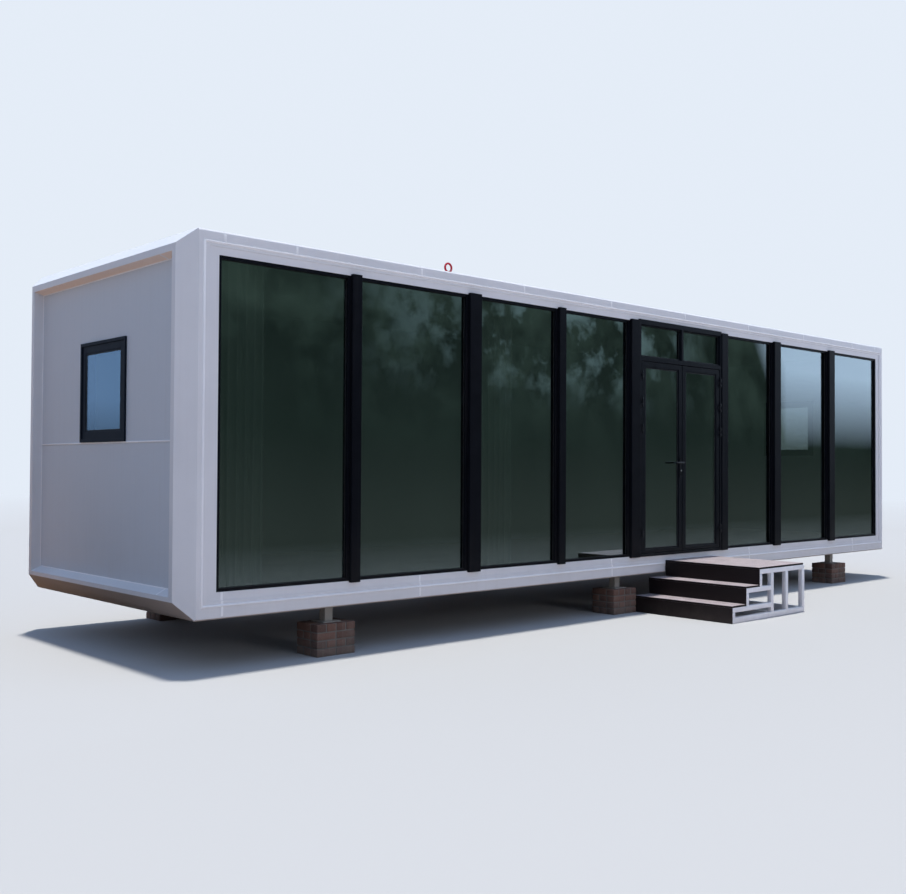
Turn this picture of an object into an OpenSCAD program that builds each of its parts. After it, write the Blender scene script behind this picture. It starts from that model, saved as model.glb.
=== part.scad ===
// Prefabricated cabin on short legs: a white steel box with tapered end caps,
// a fully glazed front with a double door, and a three-step stair beside it.
// Inside in_cabin() x runs along the glazed front from its left corner, y runs
// from the front face into the cabin, and z is measured from its underside.

/* [Cabin body] */
// Length over both end caps
overall_l = 11500; // [10600:10:12000]
// Depth from the glazed front to the back
cabin_w = 3020; // [2600:10:3200]
// Height of the box, underside to roof
cabin_h = 2975; // [2900:5:3100]
// Clear height under the box
ground_gap = 400; // [375:5:450]
// Thickness of the front, back and end walls
wall_t = 100; // [80:5:140]
// Thickness of the roof
roof_t = 120; // [100:5:160]
// Radius of the long folded edges
edge_r = 22; // [10:1:40]

/* [End caps] */
// How far each cap stands out of the box
cap_d = 135; // [100:5:180]
// How far the cap narrows at the front and at the back
cap_in_side = 114; // [80:1:140]
// How far the cap drops at the top
cap_in_top = 116; // [80:1:140]
// How far the cap rises at the bottom
cap_in_bottom = 142; // [80:1:160]
// Width of the flat rim round the recess
cap_rim = 56; // [30:1:80]
// Depth of the recess
reveal_d = 80; // [40:1:100]

/* [Glazed front] */
// Width of the white band beside the glazing
open_side = 177; // [150:1:240]
// Height of the white band over the glazing
open_top = 184; // [150:1:240]
// Height of the white band under the glazing
open_bottom = 207; // [180:1:240]
// How far the mullions stand out of the front face
mullion_proud = 25; // [10:1:40]
// Thickness of the double glazing
glass_t = 24; // [16:1:30]

/* [Double door] */
// Left edge of the door frame
door_x0 = 5401; // [5380:1:5420]
// Right edge of the door frame
door_x1 = 7000; // [6960:1:7020]
// Height of the top of the leaves
leaf_top = 2354; // [2100:1:2400]
// Thickness of a leaf
leaf_t = 55; // [45:1:65]
// Width of a leaf's stiles
stile_w = 78; // [60:1:100]
// Height of the lever handle
handle_z = 1237; // [1100:1:1350]

/* [End windows] */
// Outer width and height of an end window
window_w = 870; // [700:10:1000]
// Height of the window's lower edge
window_z = 1370; // [1200:10:1500]

/* [Stair] */
// How far the stair stands out of the front face
stair_w = 1195; // [900:5:1300]
// Height of one step
step_rise = 180; // [170:1:185]
// Depth of one step
step_going = 256; // [240:1:300]
// Side of the square tubes
tube = 50; // [40:1:60]
// Thickness of the boards
board_t = 20; // [18:1:30]

/* [Hidden] */
$fn = 48;
cut = 2;

box_l = overall_l - 2 * cap_d;
front_y = (stair_w - cabin_w) / 2;

// White picture frame of the front: insets of its bead, its inner band and its opening
bead_side = 47;
bead_bottom = 105;
bead_top = 91;
bead_r = 10;
step_part = 0.35;
band_step = 8;
open_x0 = open_side;
open_x1 = box_l - open_side;
open_z0 = open_bottom;
open_z1 = cabin_h - open_top;

// Glazing: each pane sits between beads all round, and each mullion stands out
// past the white front as a flat cover with chamfered edges
glass_y0 = 40;
glass_y1 = glass_y0 + glass_t;
glaze_back = 95;
groove = 10;
bead_w = 25;
bead_front = 14;
cover_lap = 12;
cover_chamfer = 3;
mullion_x = [1440, 2815, 4070, 5251, 7000, 8200, 9620];
mullion_w = [100, 150, 100, 150, 130, 150, 150];
left_bays = [0, 1, 2, 3];
right_bays = [4, 5, 6];
last_left = 3;
last_bay = 6;

// Floor on a welded ladder of rolled steel channels
beam_h = 150;
floor_top = 200;
side_beam = 100;
joist_w = 60;
joist_pitch = 600;
web_t = 7;
flange_t = 9;

// Cap recess: the sloped reveal closes in on the end wall
reveal_side = 20;
reveal_top = 28;
reveal_bottom = 42;
lower_rim = 36;
pocket_y = cap_in_side + cap_rim + reveal_side;
pocket_z0 = cap_in_bottom + lower_rim + reveal_bottom;
pocket_z1 = cabin_h - cap_in_top - cap_rim - reveal_top;
panel_x = reveal_d - cap_d;
end_wall_in = 45;
joint_strip_h = 14;
joint_strip_t = 4;

// Back wall: panels in a recess, with a strip over each joint
back_recess = 20;
panel_pitch = 1345;
panel_last = 200;
strip_w = 30;
strip_t = 5;

// Door
jamb_w = 38;
head_bar = 66;
frame_front = -16;
door_z0 = 197;
door_z1 = 2818;
threshold_h = 30;
transom_h = 60;
leaf_gap = 6;
meeting_gap = 8;
leaf_front = -12;
leaf_back = leaf_front + leaf_t;
stop_y = leaf_back + 5;
stop_in = 14;
leaf_x0 = door_x0 + jamb_w + leaf_gap;
leaf_x1 = door_x1 - jamb_w - leaf_gap;
meeting_x = (leaf_x0 + leaf_x1) / 2;
leaf_z0 = door_z0 + threshold_h + leaf_gap;
transom_z = leaf_top + leaf_gap;
top_rail = 70;
bottom_rail = 55;
leaf_glass_y = 2;
light_glass_y = 20;
bite = 8;
stop_bead_w = 14;
stop_bead_set = 8;
light_bead_w = 12;
light_bead_set = 18;
light_z0 = transom_z + transom_h;
light_z1 = door_z1 - head_bar;
left_leaf_x1 = meeting_x - meeting_gap / 2;
right_leaf_x0 = meeting_x + meeting_gap / 2;

// Lever set: back plate, neck, lever and lock cylinder
plate_w = 32;
plate_t = 8;
plate_up = 60;
plate_down = 170;
neck_r = 9;
lever_r = 10;
lever_l = 140;
lever_out = 55;
lock_r = 12;
lock_down = 90;
lock_out = 18;

// Hinges
hinge_z = [460, 1610, 1900, 2200];
knuckle_r = 8;
knuckle_h = 32;
pin_r = 4;
pin_fit = 0.1;
hinge_y = leaf_front - 12.5;
flag_w = 38;
flag_t = 6;
knuckle_gap = 1;
finial_r = 6;
finial_h = 4;
hinge_left_x = leaf_x0 - leaf_gap / 2;
hinge_right_x = leaf_x1 + leaf_gap / 2;

// Window: a proud rim, a sash set back in it, a bead, and the pane
window_rim = 28;
window_proud = 18;
sash_w = 74;
sash_set = 10;
sash_bead_w = 12;
sash_bead_set = 3;
pane_set = 7;
window_lap = 10;
window_y0 = (cabin_w - window_w) / 2;
window_y1 = window_y0 + window_w;
sash_x = panel_x - window_proud + sash_set;
window_glass_x = sash_x + pane_set;

// Legs, piers and lifting eyes
leg_x = [1310, 5170, box_l - 1310];
leg_y = [150, cabin_w - 150];
leg_w = 80;
pier_h = 265;
eye_x = 2650;
eye_y = 110;
eye_r = 40;
eye_bar = 10;
boss_r = 28;
boss_h = 12;
foot_w = 180;
foot_t = 10;
pier_l = 390;
pier_w = 300;

// Stair
stair_x0 = 5385;
riser_t = 15;
ground_rail = 60;
platform_l = 918;
platform_x0 = stair_x0 + 2 * step_going;
platform_x1 = platform_x0 + platform_l;
deck_short = 30;
tread_tail = 25;
deck_end = -12;
post_x = platform_x0 + 228;
mid_post_x = platform_x0 + 523;

// Curtains
curtain_y = 180;
curtain_top = 2843;
pleat = 80;
pleat_depth = 30;
cloth_t = 8;
hem_gap = 10;
track_half = 10;

module in_cabin() {
    translate([-box_l / 2, front_y, ground_gap]) children();
}

module at_right() {
    translate([box_l, 0, 0]) mirror([1, 0, 0]) children();
}

module block(x0, x1, y0, y1, z0, z1) {
    translate([x0, y0, z0]) cube([x1 - x0, y1 - y0, z1 - z0]);
}

// Extrudes an outline drawn in x and z through the depth from y0 to y1
module through_depth(y0, y1) {
    translate([0, y1, 0]) rotate([90, 0, 0]) linear_extrude(y1 - y0) children();
}

module rod_x(x0, x1, y, z, r) {
    translate([x0, y, z]) rotate([0, 90, 0]) cylinder(r = r, h = x1 - x0);
}

module rod_y(y0, y1, x, z, r) {
    translate([x, y0, z]) rotate([-90, 0, 0]) cylinder(r = r, h = y1 - y0);
}

module rod_z(z0, z1, x, y, r) {
    translate([x, y, z0]) cylinder(r = r, h = z1 - z0);
}

// Cross-section of the box, with its four long edges folded to a radius
module box_section() {
    translate([edge_r, 0]) square([cabin_w - 2 * edge_r, cabin_h]);
    translate([0, edge_r]) square([cabin_w, cabin_h - 2 * edge_r]);
    for (y = [edge_r, cabin_w - edge_r], z = [edge_r, cabin_h - edge_r])
        translate([y, z]) circle(edge_r);
}

module envelope(x0, x1) {
    translate([x0, 0, 0]) rotate([90, 0, 90]) linear_extrude(x1 - x0) box_section();
}

// Corners of a rectangle of the picture frame, inset by the given amounts
function frame_corners(side, bottom, top) = [
    [side, bottom], [side, cabin_h - top], [box_l - side, cabin_h - top], [box_l - side, bottom]];
outer_corners = frame_corners(-bead_side, -bead_bottom, -bead_top);
bead_corners = frame_corners(bead_side, bead_bottom, bead_top);
open_corners = frame_corners(open_side, open_bottom, open_top);

function between(a, b, part) = a + (b - a) * part;
step_side = between(bead_side, open_side, step_part);
step_bottom = between(bead_bottom, open_bottom, step_part);
step_top = between(bead_top, open_top, step_part);

// One mitred side of the picture frame, from corner a to corner b
module mitre_mask(a, b) {
    through_depth(-2 * bead_r, wall_t + cut)
        polygon([outer_corners[a], outer_corners[b], bead_corners[b], open_corners[b],
            open_corners[a], bead_corners[a]]);
}

module front_plate() {
    difference() {
        intersection() {
            envelope(0, box_l);
            block(0, box_l, 0, wall_t, 0, cabin_h);
        }
        block(open_x0, open_x1, -cut, wall_t + cut, open_z0, open_z1);
        block(step_side, box_l - step_side, -cut, band_step, step_bottom, cabin_h - step_top);
    }
}

module front_head() {
    color("white") in_cabin() intersection() {
        union() {
            front_plate();
            rod_x(0, box_l, 0, cabin_h - bead_top, bead_r);
        }
        mitre_mask(1, 2);
    }
}

module front_sill() {
    color("white") in_cabin() intersection() {
        union() {
            front_plate();
            rod_x(0, box_l, 0, bead_bottom, bead_r);
        }
        mitre_mask(3, 0);
    }
}

module front_jamb() {
    intersection() {
        union() {
            front_plate();
            rod_z(0, cabin_h, bead_side, 0, bead_r);
        }
        mitre_mask(0, 1);
    }
}

module front_left_jamb() {
    color("white") in_cabin() front_jamb();
}

module front_right_jamb() {
    color("white") in_cabin() at_right() front_jamb();
}

module back_wall() {
    color("white") in_cabin() {
        difference() {
            intersection() {
                envelope(0, box_l);
                block(0, box_l, cabin_w - wall_t, cabin_w, 0, cabin_h);
            }
            block(open_x0, open_x1, cabin_w - back_recess, cabin_w + cut, open_z0, open_z1);
        }
        for (x = [open_x0 + panel_pitch : panel_pitch : open_x1 - panel_last])
            block(x - strip_w / 2, x + strip_w / 2, cabin_w - back_recess,
                cabin_w - back_recess + strip_t, open_z0, open_z1);
    }
}

module roof() {
    color("whitesmoke") in_cabin()
        block(0, box_l, wall_t, cabin_w - wall_t, cabin_h - roof_t, cabin_h);
}

// Cross-section of a channel whose flanges point to the right
module channel_section(w) {
    difference() {
        square([w, beam_h]);
        translate([web_t, flange_t]) square([w, beam_h - 2 * flange_t]);
    }
}

module side_channel() {
    translate([0, wall_t, 0]) rotate([90, 0, 90]) linear_extrude(box_l)
        channel_section(side_beam);
}

module joist(x) {
    through_depth(wall_t, cabin_w - wall_t) translate([x, 0]) channel_section(joist_w);
}

module base_frame() {
    color("dimgray") in_cabin() {
        side_channel();
        translate([0, cabin_w, 0]) mirror([0, 1, 0]) side_channel();
        for (x = [0 : joist_pitch : box_l - joist_pitch / 2]) joist(x);
        at_right() joist(0);
    }
}

module floor_deck() {
    color("burlywood") in_cabin()
        block(0, box_l, wall_t, cabin_w - wall_t, beam_h, floor_top);
}

// Tapered solid of the left cap, from the box at x = 0 out to its end face
module cap_taper() {
    intersection() {
        envelope(-cap_d, 0);
        linear_extrude(cabin_h)
            polygon([[0, 0], [0, cabin_w], [-cap_d, cabin_w - cap_in_side], [-cap_d, cap_in_side]]);
        through_depth(0, cabin_w)
            polygon([[0, 0], [0, cabin_h], [-cap_d, cabin_h - cap_in_top], [-cap_d, cap_in_bottom]]);
    }
}

// Sloped recess of the left cap, cut a little past its end face
module cap_reveal() {
    flare = cut / reveal_d;
    x0 = -cap_d - cut;
    intersection() {
        linear_extrude(cabin_h)
            polygon([[panel_x, pocket_y], [panel_x, cabin_w - pocket_y],
                [x0, cabin_w - pocket_y + reveal_side * (1 + flare)],
                [x0, pocket_y - reveal_side * (1 + flare)]]);
        through_depth(0, cabin_w)
            polygon([[panel_x, pocket_z0], [panel_x, pocket_z1],
                [x0, pocket_z1 + reveal_top * (1 + flare)],
                [x0, pocket_z0 - reveal_bottom * (1 + flare)]]);
    }
}

module end_cap() {
    difference() {
        cap_taper();
        cap_reveal();
        block(panel_x, cut, pocket_y, cabin_w - pocket_y, pocket_z0, pocket_z1);
    }
}

module left_end_cap() {
    color("white") in_cabin() end_cap();
}

module right_end_cap() {
    color("white") in_cabin() at_right() end_cap();
}

module end_wall() {
    difference() {
        union() {
            block(panel_x, 0, pocket_y, cabin_w - pocket_y, pocket_z0, pocket_z1);
            block(0, end_wall_in, wall_t, cabin_w - wall_t, floor_top, cabin_h - roof_t);
            block(panel_x - joint_strip_t, panel_x, pocket_y, cabin_w - pocket_y,
                window_z - joint_strip_h, window_z);
        }
        block(panel_x - joint_strip_t - cut, end_wall_in + cut, window_y0 + window_lap,
            window_y1 - window_lap, window_z + window_lap, window_z + window_w - window_lap);
    }
}

module left_end_wall() {
    color("gainsboro") in_cabin() end_wall();
}

module right_end_wall() {
    color("gainsboro") in_cabin() at_right() end_wall();
}

// A square plate in the plane of the end wall, inset from the window's outer edge
module window_plate(x0, x1, inset) {
    block(x0, x1, window_y0 + inset, window_y1 - inset, window_z + inset,
        window_z + window_w - inset);
}

module window_frame() {
    difference() {
        union() {
            window_plate(panel_x - window_proud, panel_x, 0);
            window_plate(panel_x, end_wall_in, window_lap);
        }
        window_plate(panel_x - window_proud - cut, sash_x, window_rim);
        window_plate(sash_x - cut, sash_x + sash_bead_set, window_rim + sash_w - sash_bead_w);
        window_plate(sash_x, end_wall_in + cut, window_rim + sash_w);
        window_plate(window_glass_x, window_glass_x + glass_t, window_rim + sash_w - bite);
    }
}

module window_glass() {
    window_plate(window_glass_x, window_glass_x + glass_t, window_rim + sash_w - bite);
}

module left_window_frame() {
    color("black") in_cabin() window_frame();
}

module left_window_glass() {
    color("lightblue") in_cabin() window_glass();
}

module right_window_frame() {
    color("black") in_cabin() at_right() window_frame();
}

module right_window_glass() {
    color("lightblue") in_cabin() at_right() window_glass();
}

// Edges of glazed bay i, between two mullions or between a mullion and the band
function bay_start(i) = i == 0 ? open_x0 :
    i <= last_left ? mullion_x[i - 1] + mullion_w[i - 1] : mullion_x[i] + mullion_w[i];
function bay_end(i) = i <= last_left ? mullion_x[i] : i < last_bay ? mullion_x[i + 1] : open_x1;

// A pane that reaches into the grooves of the beads all round
module pane(i) {
    block(bay_start(i) + bead_w - groove, bay_end(i) - bead_w + groove, glass_y0, glass_y1,
        open_z0 + bead_w - groove, open_z1 - bead_w + groove);
}

// Cross-section of a mullion of width w from its chamfered face back to y
module cover_section(w, y) {
    polygon([[0, y], [0, cover_chamfer - mullion_proud], [cover_chamfer, -mullion_proud],
        [w - cover_chamfer, -mullion_proud], [w, cover_chamfer - mullion_proud], [w, y]]);
}

// Mullion i: its cover, which laps the band at both ends, and a bead on each glazed side
module mullion(i) {
    w = mullion_w[i];
    left = i == last_left + 1 ? 0 : bead_w;
    right = i == last_left ? 0 : bead_w;
    difference() {
        translate([mullion_x[i], 0, 0]) {
            translate([0, 0, open_z0]) linear_extrude(open_z1 - open_z0) {
                cover_section(w, glaze_back);
                translate([-left, bead_front])
                    square([w + left + right, glaze_back - bead_front]);
            }
            translate([0, 0, open_z0 - cover_lap])
                linear_extrude(open_z1 - open_z0 + 2 * cover_lap) cover_section(w, band_step);
        }
        for (bay = concat(left_bays, right_bays)) pane(bay);
    }
}

module end_stile_bar() {
    difference() {
        block(open_x0, open_x0 + bead_w, bead_front, glaze_back, open_z0, open_z1);
        pane(0);
    }
}

module left_mullions() {
    color("#22262e") in_cabin() {
        end_stile_bar();
        for (i = [0 : 3]) mullion(i);
    }
}

module right_mullions() {
    color("#22262e") in_cabin() {
        for (i = [4 : 6]) mullion(i);
        at_right() end_stile_bar();
    }
}

module glazing_channels() {
    color("#22262e") in_cabin() difference() {
        for (bay = concat(left_bays, right_bays), z = [open_z0, open_z1 - bead_w])
            block(bay_start(bay) + bead_w, bay_end(bay) - bead_w, bead_front, glaze_back, z,
                z + bead_w);
        for (bay = concat(left_bays, right_bays)) pane(bay);
    }
}

module left_glass() {
    color("darkslategray", 0.5) in_cabin() for (bay = left_bays) pane(bay);
}

module right_glass() {
    color("darkslategray", 0.5) in_cabin() for (bay = right_bays) pane(bay);
}

// The two lights over the leaves as blocks from y0 to y1, grown on all four sides
module lights(y0, y1, grow) {
    for (x = [[door_x0 + jamb_w, meeting_x - transom_h / 2],
            [meeting_x + transom_h / 2, door_x1 - jamb_w]])
        block(x[0] - grow, x[1] + grow, y0, y1, light_z0 - grow, light_z1 + grow);
}

module transom_panes() {
    lights(light_glass_y, light_glass_y + glass_t, bite);
}

module door_frame() {
    x0 = door_x0 + jamb_w;
    x1 = door_x1 - jamb_w;
    color("#1c2027") in_cabin() difference() {
        union() {
            block(door_x0, door_x1, frame_front, band_step, door_z0, door_z1);
            block(door_x0, door_x1, band_step, glaze_back, open_z0, open_z1);
        }
        block(x0, x1, frame_front - cut, stop_y, door_z0 + threshold_h, transom_z);
        block(x0 + stop_in, x1 - stop_in, frame_front - cut, glaze_back + cut,
            door_z0 + threshold_h, transom_z - stop_in);
        lights(frame_front - cut, glaze_back + cut, 0);
        lights(frame_front - cut, frame_front + light_bead_set, light_bead_w);
        transom_panes();
    }
}

module transom_glass() {
    color("darkslategray", 0.5) in_cabin() transom_panes();
}

// Opening of a leaf from y0 to y1, grown on all four sides
module leaf_light(x0, x1, y0, y1, grow) {
    block(x0 + stile_w - grow, x1 - stile_w + grow, y0, y1, leaf_z0 + bottom_rail - grow,
        leaf_top - top_rail + grow);
}

module leaf_pane(x0, x1) {
    leaf_light(x0, x1, leaf_glass_y, leaf_glass_y + glass_t, bite);
}

// Stiles and rails with a glazing bead set back from both faces
module leaf(x0, x1) {
    difference() {
        block(x0, x1, leaf_front, leaf_back, leaf_z0, leaf_top);
        leaf_light(x0, x1, leaf_front - cut, leaf_back + cut, 0);
        leaf_light(x0, x1, leaf_front - cut, leaf_front + stop_bead_set, stop_bead_w);
        leaf_light(x0, x1, leaf_back - stop_bead_set, leaf_back + cut, stop_bead_w);
        leaf_pane(x0, x1);
    }
}

module left_leaf() {
    color("#1c2027") in_cabin() leaf(leaf_x0, left_leaf_x1);
}

module right_leaf() {
    color("#1c2027") in_cabin() leaf(right_leaf_x0, leaf_x1);
}

module left_leaf_glass() {
    color("darkslategray", 0.5) in_cabin() leaf_pane(leaf_x0, left_leaf_x1);
}

module right_leaf_glass() {
    color("darkslategray", 0.5) in_cabin() leaf_pane(right_leaf_x0, leaf_x1);
}

// Middle knuckle and flag of one hinge; side is 1 where the leaf lies towards +x
module leaf_hinge(x, z, side) {
    difference() {
        union() {
            rod_z(z - knuckle_h / 2, z + knuckle_h / 2, x, hinge_y, knuckle_r);
            translate([side > 0 ? x : x - flag_w, leaf_front - flag_t, z - knuckle_h / 2])
                cube([flag_w, flag_t, knuckle_h]);
        }
        rod_z(z - knuckle_h, z + knuckle_h, x, hinge_y, pin_r + pin_fit);
    }
}

// Outer knuckles, pin and flags of one hinge, fixed to the jamb
module jamb_hinge(x, z, side) {
    rod_z(z - 1.5 * knuckle_h, z + 1.5 * knuckle_h, x, hinge_y, pin_r);
    for (end = [z - 1.5 * knuckle_h - finial_h, z + 1.5 * knuckle_h])
        rod_z(end, end + finial_h, x, hinge_y, finial_r);
    for (low = [z - 1.5 * knuckle_h, z + knuckle_h / 2 + knuckle_gap]) {
        rod_z(low, low + knuckle_h - knuckle_gap, x, hinge_y, knuckle_r);
        translate([side > 0 ? x - flag_w : x, frame_front - flag_t, low])
            cube([flag_w, flag_t, knuckle_h - knuckle_gap]);
    }
}

module left_leaf_hinges() {
    color("#1c2027") in_cabin() for (z = hinge_z) leaf_hinge(hinge_left_x, z, 1);
}

module right_leaf_hinges() {
    color("#1c2027") in_cabin() for (z = hinge_z) leaf_hinge(hinge_right_x, z, -1);
}

module frame_hinges() {
    color("#1c2027") in_cabin() for (z = hinge_z) {
        jamb_hinge(hinge_left_x, z, 1);
        jamb_hinge(hinge_right_x, z, -1);
    }
}

// Rounded back plate, neck, lever and lock on one face of the leaf; out is the way it faces
module lever_set(y, out) {
    x = left_leaf_x1 - stile_w / 2;
    plate_r = plate_w / 2;
    grip_y = y + out * lever_out;
    module from_face(reach, z, r) {
        rod_y(min(y, y + out * reach), max(y, y + out * reach), x, z, r);
    }
    for (z = [handle_z + plate_up - plate_r, handle_z - plate_down + plate_r])
        from_face(plate_t, z, plate_r);
    block(x - plate_r, x + plate_r, min(y, y + out * plate_t), max(y, y + out * plate_t),
        handle_z - plate_down + plate_r, handle_z + plate_up - plate_r);
    from_face(lever_out, handle_z, neck_r);
    from_face(lock_out, handle_z - lock_down, lock_r);
    rod_x(x - lever_l, x, grip_y, handle_z, lever_r);
    for (end = [x - lever_l, x]) translate([end, grip_y, handle_z]) sphere(lever_r);
}

module door_handle() {
    color("#2c3038") in_cabin() {
        lever_set(leaf_front, -1);
        lever_set(leaf_back, 1);
    }
}

module eye(y) {
    translate([eye_x, y, cabin_h]) {
        cylinder(r = boss_r, h = boss_h);
        translate([0, 0, boss_h + eye_r + eye_bar / 2]) rotate([90, 0, 0])
            rotate_extrude() translate([eye_r, 0]) circle(eye_bar);
    }
}

module lifting_eyes() {
    color("crimson") in_cabin() for (y = [eye_y, cabin_w - eye_y]) eye(y);
}

module legs() {
    half = leg_w / 2;
    color("lightgray") in_cabin() for (x = leg_x, y = leg_y) {
        block(x - half, x + half, y - half, y + half, pier_h - ground_gap, 0);
        block(x - foot_w / 2, x + foot_w / 2, y - foot_w / 2, y + foot_w / 2,
            pier_h - ground_gap, pier_h - ground_gap + foot_t);
    }
}

module brick_piers() {
    color("sienna") in_cabin() for (x = leg_x, y = leg_y)
        block(x - pier_l / 2, x + pier_l / 2, y - pier_w / 2, y + pier_w / 2, -ground_gap,
            pier_h - ground_gap);
}

// Height of the top of step n, counted from the ground
function step_top_z(n) = n * step_rise - ground_gap;
function step_x(n) = stair_x0 + n * step_going;

// Welded side frame of the stair, standing from y to y + tube
module side_frame(y) {
    ground = -ground_gap;
    rail_1 = step_top_z(1) - board_t;
    rail_2 = step_top_z(2) - board_t;
    rail_3 = step_top_z(3) - board_t;
    block(stair_x0, platform_x1, y, y + tube, ground, ground + ground_rail);
    block(stair_x0, post_x + tube, y, y + tube, rail_1 - tube, rail_1);
    block(step_x(1), post_x + tube, y, y + tube, rail_2 - tube, rail_2);
    block(platform_x0, platform_x1, y, y + tube, rail_3 - tube, rail_3);
    block(stair_x0, stair_x0 + tube, y, y + tube, ground, rail_1);
    block(step_x(1), step_x(1) + tube, y, y + tube, rail_1 - tube, rail_2);
    block(platform_x0, platform_x0 + tube, y, y + tube, rail_2 - tube, rail_3);
    for (x = [post_x, mid_post_x, platform_x1 - tube])
        block(x, x + tube, y, y + tube, ground, rail_3);
}

module stair_front_side() {
    color("white") in_cabin() side_frame(-stair_w);
}

module stair_back_side() {
    color("white") in_cabin() side_frame(deck_end - tube);
}

// A tube across the stair between its two sides, with its top at z
module cross_tube(x, z, h) {
    block(x, x + tube, -stair_w + tube, deck_end - tube, z - h, z);
}

module stair_cross_tubes() {
    color("white") in_cabin() {
        for (x = [stair_x0, post_x, platform_x1 - tube])
            cross_tube(x, ground_rail - ground_gap, ground_rail);
        for (n = [0 : 2]) cross_tube(step_x(n), step_top_z(n + 1) - board_t, tube);
        cross_tube(platform_x1 - tube, step_top_z(3) - board_t, tube);
    }
}

module risers() {
    color("#3b2f2e") in_cabin() {
        for (n = [0, 1])
            block(step_x(n) - riser_t, step_x(n), -stair_w, tread_tail,
                n == 0 ? -ground_gap : step_top_z(n), step_top_z(n + 1) - board_t);
        block(step_x(2) - riser_t, step_x(2), -stair_w, deck_end,
            step_top_z(2), step_top_z(3) - board_t);
    }
}

module tread(n) {
    block(step_x(n - 1) - riser_t, step_x(n), -stair_w, tread_tail,
        step_top_z(n) - board_t, step_top_z(n));
}

module lower_tread() {
    color("#8d8484") in_cabin() tread(1);
}

module upper_tread() {
    color("#8d8484") in_cabin() tread(2);
}

module platform_deck() {
    color("#8d8484") in_cabin()
        block(platform_x0 - riser_t, platform_x1 - deck_short, -stair_w, deck_end,
            step_top_z(3) - board_t, step_top_z(3));
}

module curtain_track() {
    color("white") in_cabin()
        block(end_wall_in, box_l - end_wall_in, curtain_y - track_half, curtain_y + track_half,
            curtain_top, cabin_h - roof_t);
}

// Hanging cloth in even pleats between x0 and x1
module curtain(x0, x1) {
    steps = round((x1 - x0) / pleat) * 8;
    function wave(i) = curtain_y + pleat_depth * sin(i * 45);
    function along(i) = between(x0, x1, i / steps);
    translate([0, 0, floor_top + hem_gap]) linear_extrude(curtain_top - floor_top - hem_gap)
        polygon(concat([for (i = [0 : steps]) [along(i), wave(i) - cloth_t / 2]],
            [for (i = [steps : -1 : 0]) [along(i), wave(i) + cloth_t / 2]]));
}

module left_curtain() {
    color("gainsboro") in_cabin() curtain(200, 680);
}

module middle_curtain() {
    color("gainsboro") in_cabin() curtain(2990, 3550);
}

base_frame();
floor_deck();
roof();
back_wall();
left_end_wall();
right_end_wall();
left_end_cap();
right_end_cap();
front_head();
front_sill();
front_left_jamb();
front_right_jamb();
left_mullions();
right_mullions();
glazing_channels();
left_glass();
right_glass();
door_frame();
frame_hinges();
transom_glass();
left_leaf();
left_leaf_glass();
left_leaf_hinges();
right_leaf();
right_leaf_glass();
right_leaf_hinges();
door_handle();
left_window_frame();
left_window_glass();
right_window_frame();
right_window_glass();
lifting_eyes();
legs();
brick_piers();
stair_front_side();
stair_back_side();
stair_cross_tubes();
risers();
lower_tread();
upper_tread();
platform_deck();
curtain_track();
left_curtain();
middle_curtain();
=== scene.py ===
# %% [markdown]
# # A glazed cabin on brick piers
#
# The construction of this cabin comes ready made from its CAD model: every wall, frame
# and tube already stands at its real size. This lesson gives it its looks, one finish
# and one piece at a time. A maker who finishes such a cabin coats the steel, glazes and
# seals the front, lays the boards and hangs the curtains, and so do we.

# %% Load the frame
import math
import random

import bmesh
import bpy
from mathutils import Matrix, Vector


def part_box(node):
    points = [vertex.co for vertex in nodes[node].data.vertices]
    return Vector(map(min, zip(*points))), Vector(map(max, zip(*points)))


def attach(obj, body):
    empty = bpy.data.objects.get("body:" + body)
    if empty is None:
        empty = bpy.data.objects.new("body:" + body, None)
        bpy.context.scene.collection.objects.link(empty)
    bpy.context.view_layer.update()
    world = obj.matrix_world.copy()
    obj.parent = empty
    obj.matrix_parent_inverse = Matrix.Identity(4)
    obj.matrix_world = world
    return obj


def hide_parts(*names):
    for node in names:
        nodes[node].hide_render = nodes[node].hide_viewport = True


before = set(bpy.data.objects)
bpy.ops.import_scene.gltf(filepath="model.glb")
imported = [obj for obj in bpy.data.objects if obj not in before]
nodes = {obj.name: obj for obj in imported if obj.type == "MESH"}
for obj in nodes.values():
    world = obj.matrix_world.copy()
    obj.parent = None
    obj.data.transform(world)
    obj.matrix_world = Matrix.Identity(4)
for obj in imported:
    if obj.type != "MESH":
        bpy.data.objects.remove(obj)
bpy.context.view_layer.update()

# %% [markdown]
# ## Where things are
#
# A cabin maker measures from one corner of the box. We do the same: `at(x, y, z)` counts
# metres from the front left lower corner, along the glass, into the room and upwards.
# The corner itself is read from the frame, so nothing moves if the model is packed again.

# %% The corner that everything is measured from
WALL = 0.100
roof_low, roof_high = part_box("roof")
base_low, base_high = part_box("base_frame")
CORNER = Vector((roof_low.x, roof_low.y - WALL, base_low.z))
BOX_LENGTH = roof_high.x - roof_low.x
BOX_DEPTH = roof_high.y - roof_low.y + 2 * WALL
BOX_HEIGHT = roof_high.z - base_low.z


def at(x, y, z):
    """A point measured from the box's front left lower corner, in the shared frame."""
    return CORNER + Vector((x, y, z))


print("box length, depth and height:", round(BOX_LENGTH, 3), round(BOX_DEPTH, 3), round(BOX_HEIGHT, 3))

# %% [markdown]
# ## The camera
#
# The camera stands where the photographer stood, a little over eye height off the left
# front corner. Its place and lens were worked out from the corners of the box, and the
# view is built from three angles: the way it looks round, up, and how far it leans.

# %% Camera
EYE = Vector((-9.6025, -8.0589, 1.5711))
LOOK_ROUND = math.radians(47.239)
LOOK_UP = math.radians(1.0971)
LEAN = math.radians(0.315)
LENS_MM = 42.014
SENSOR_MM = 36.0

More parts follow.
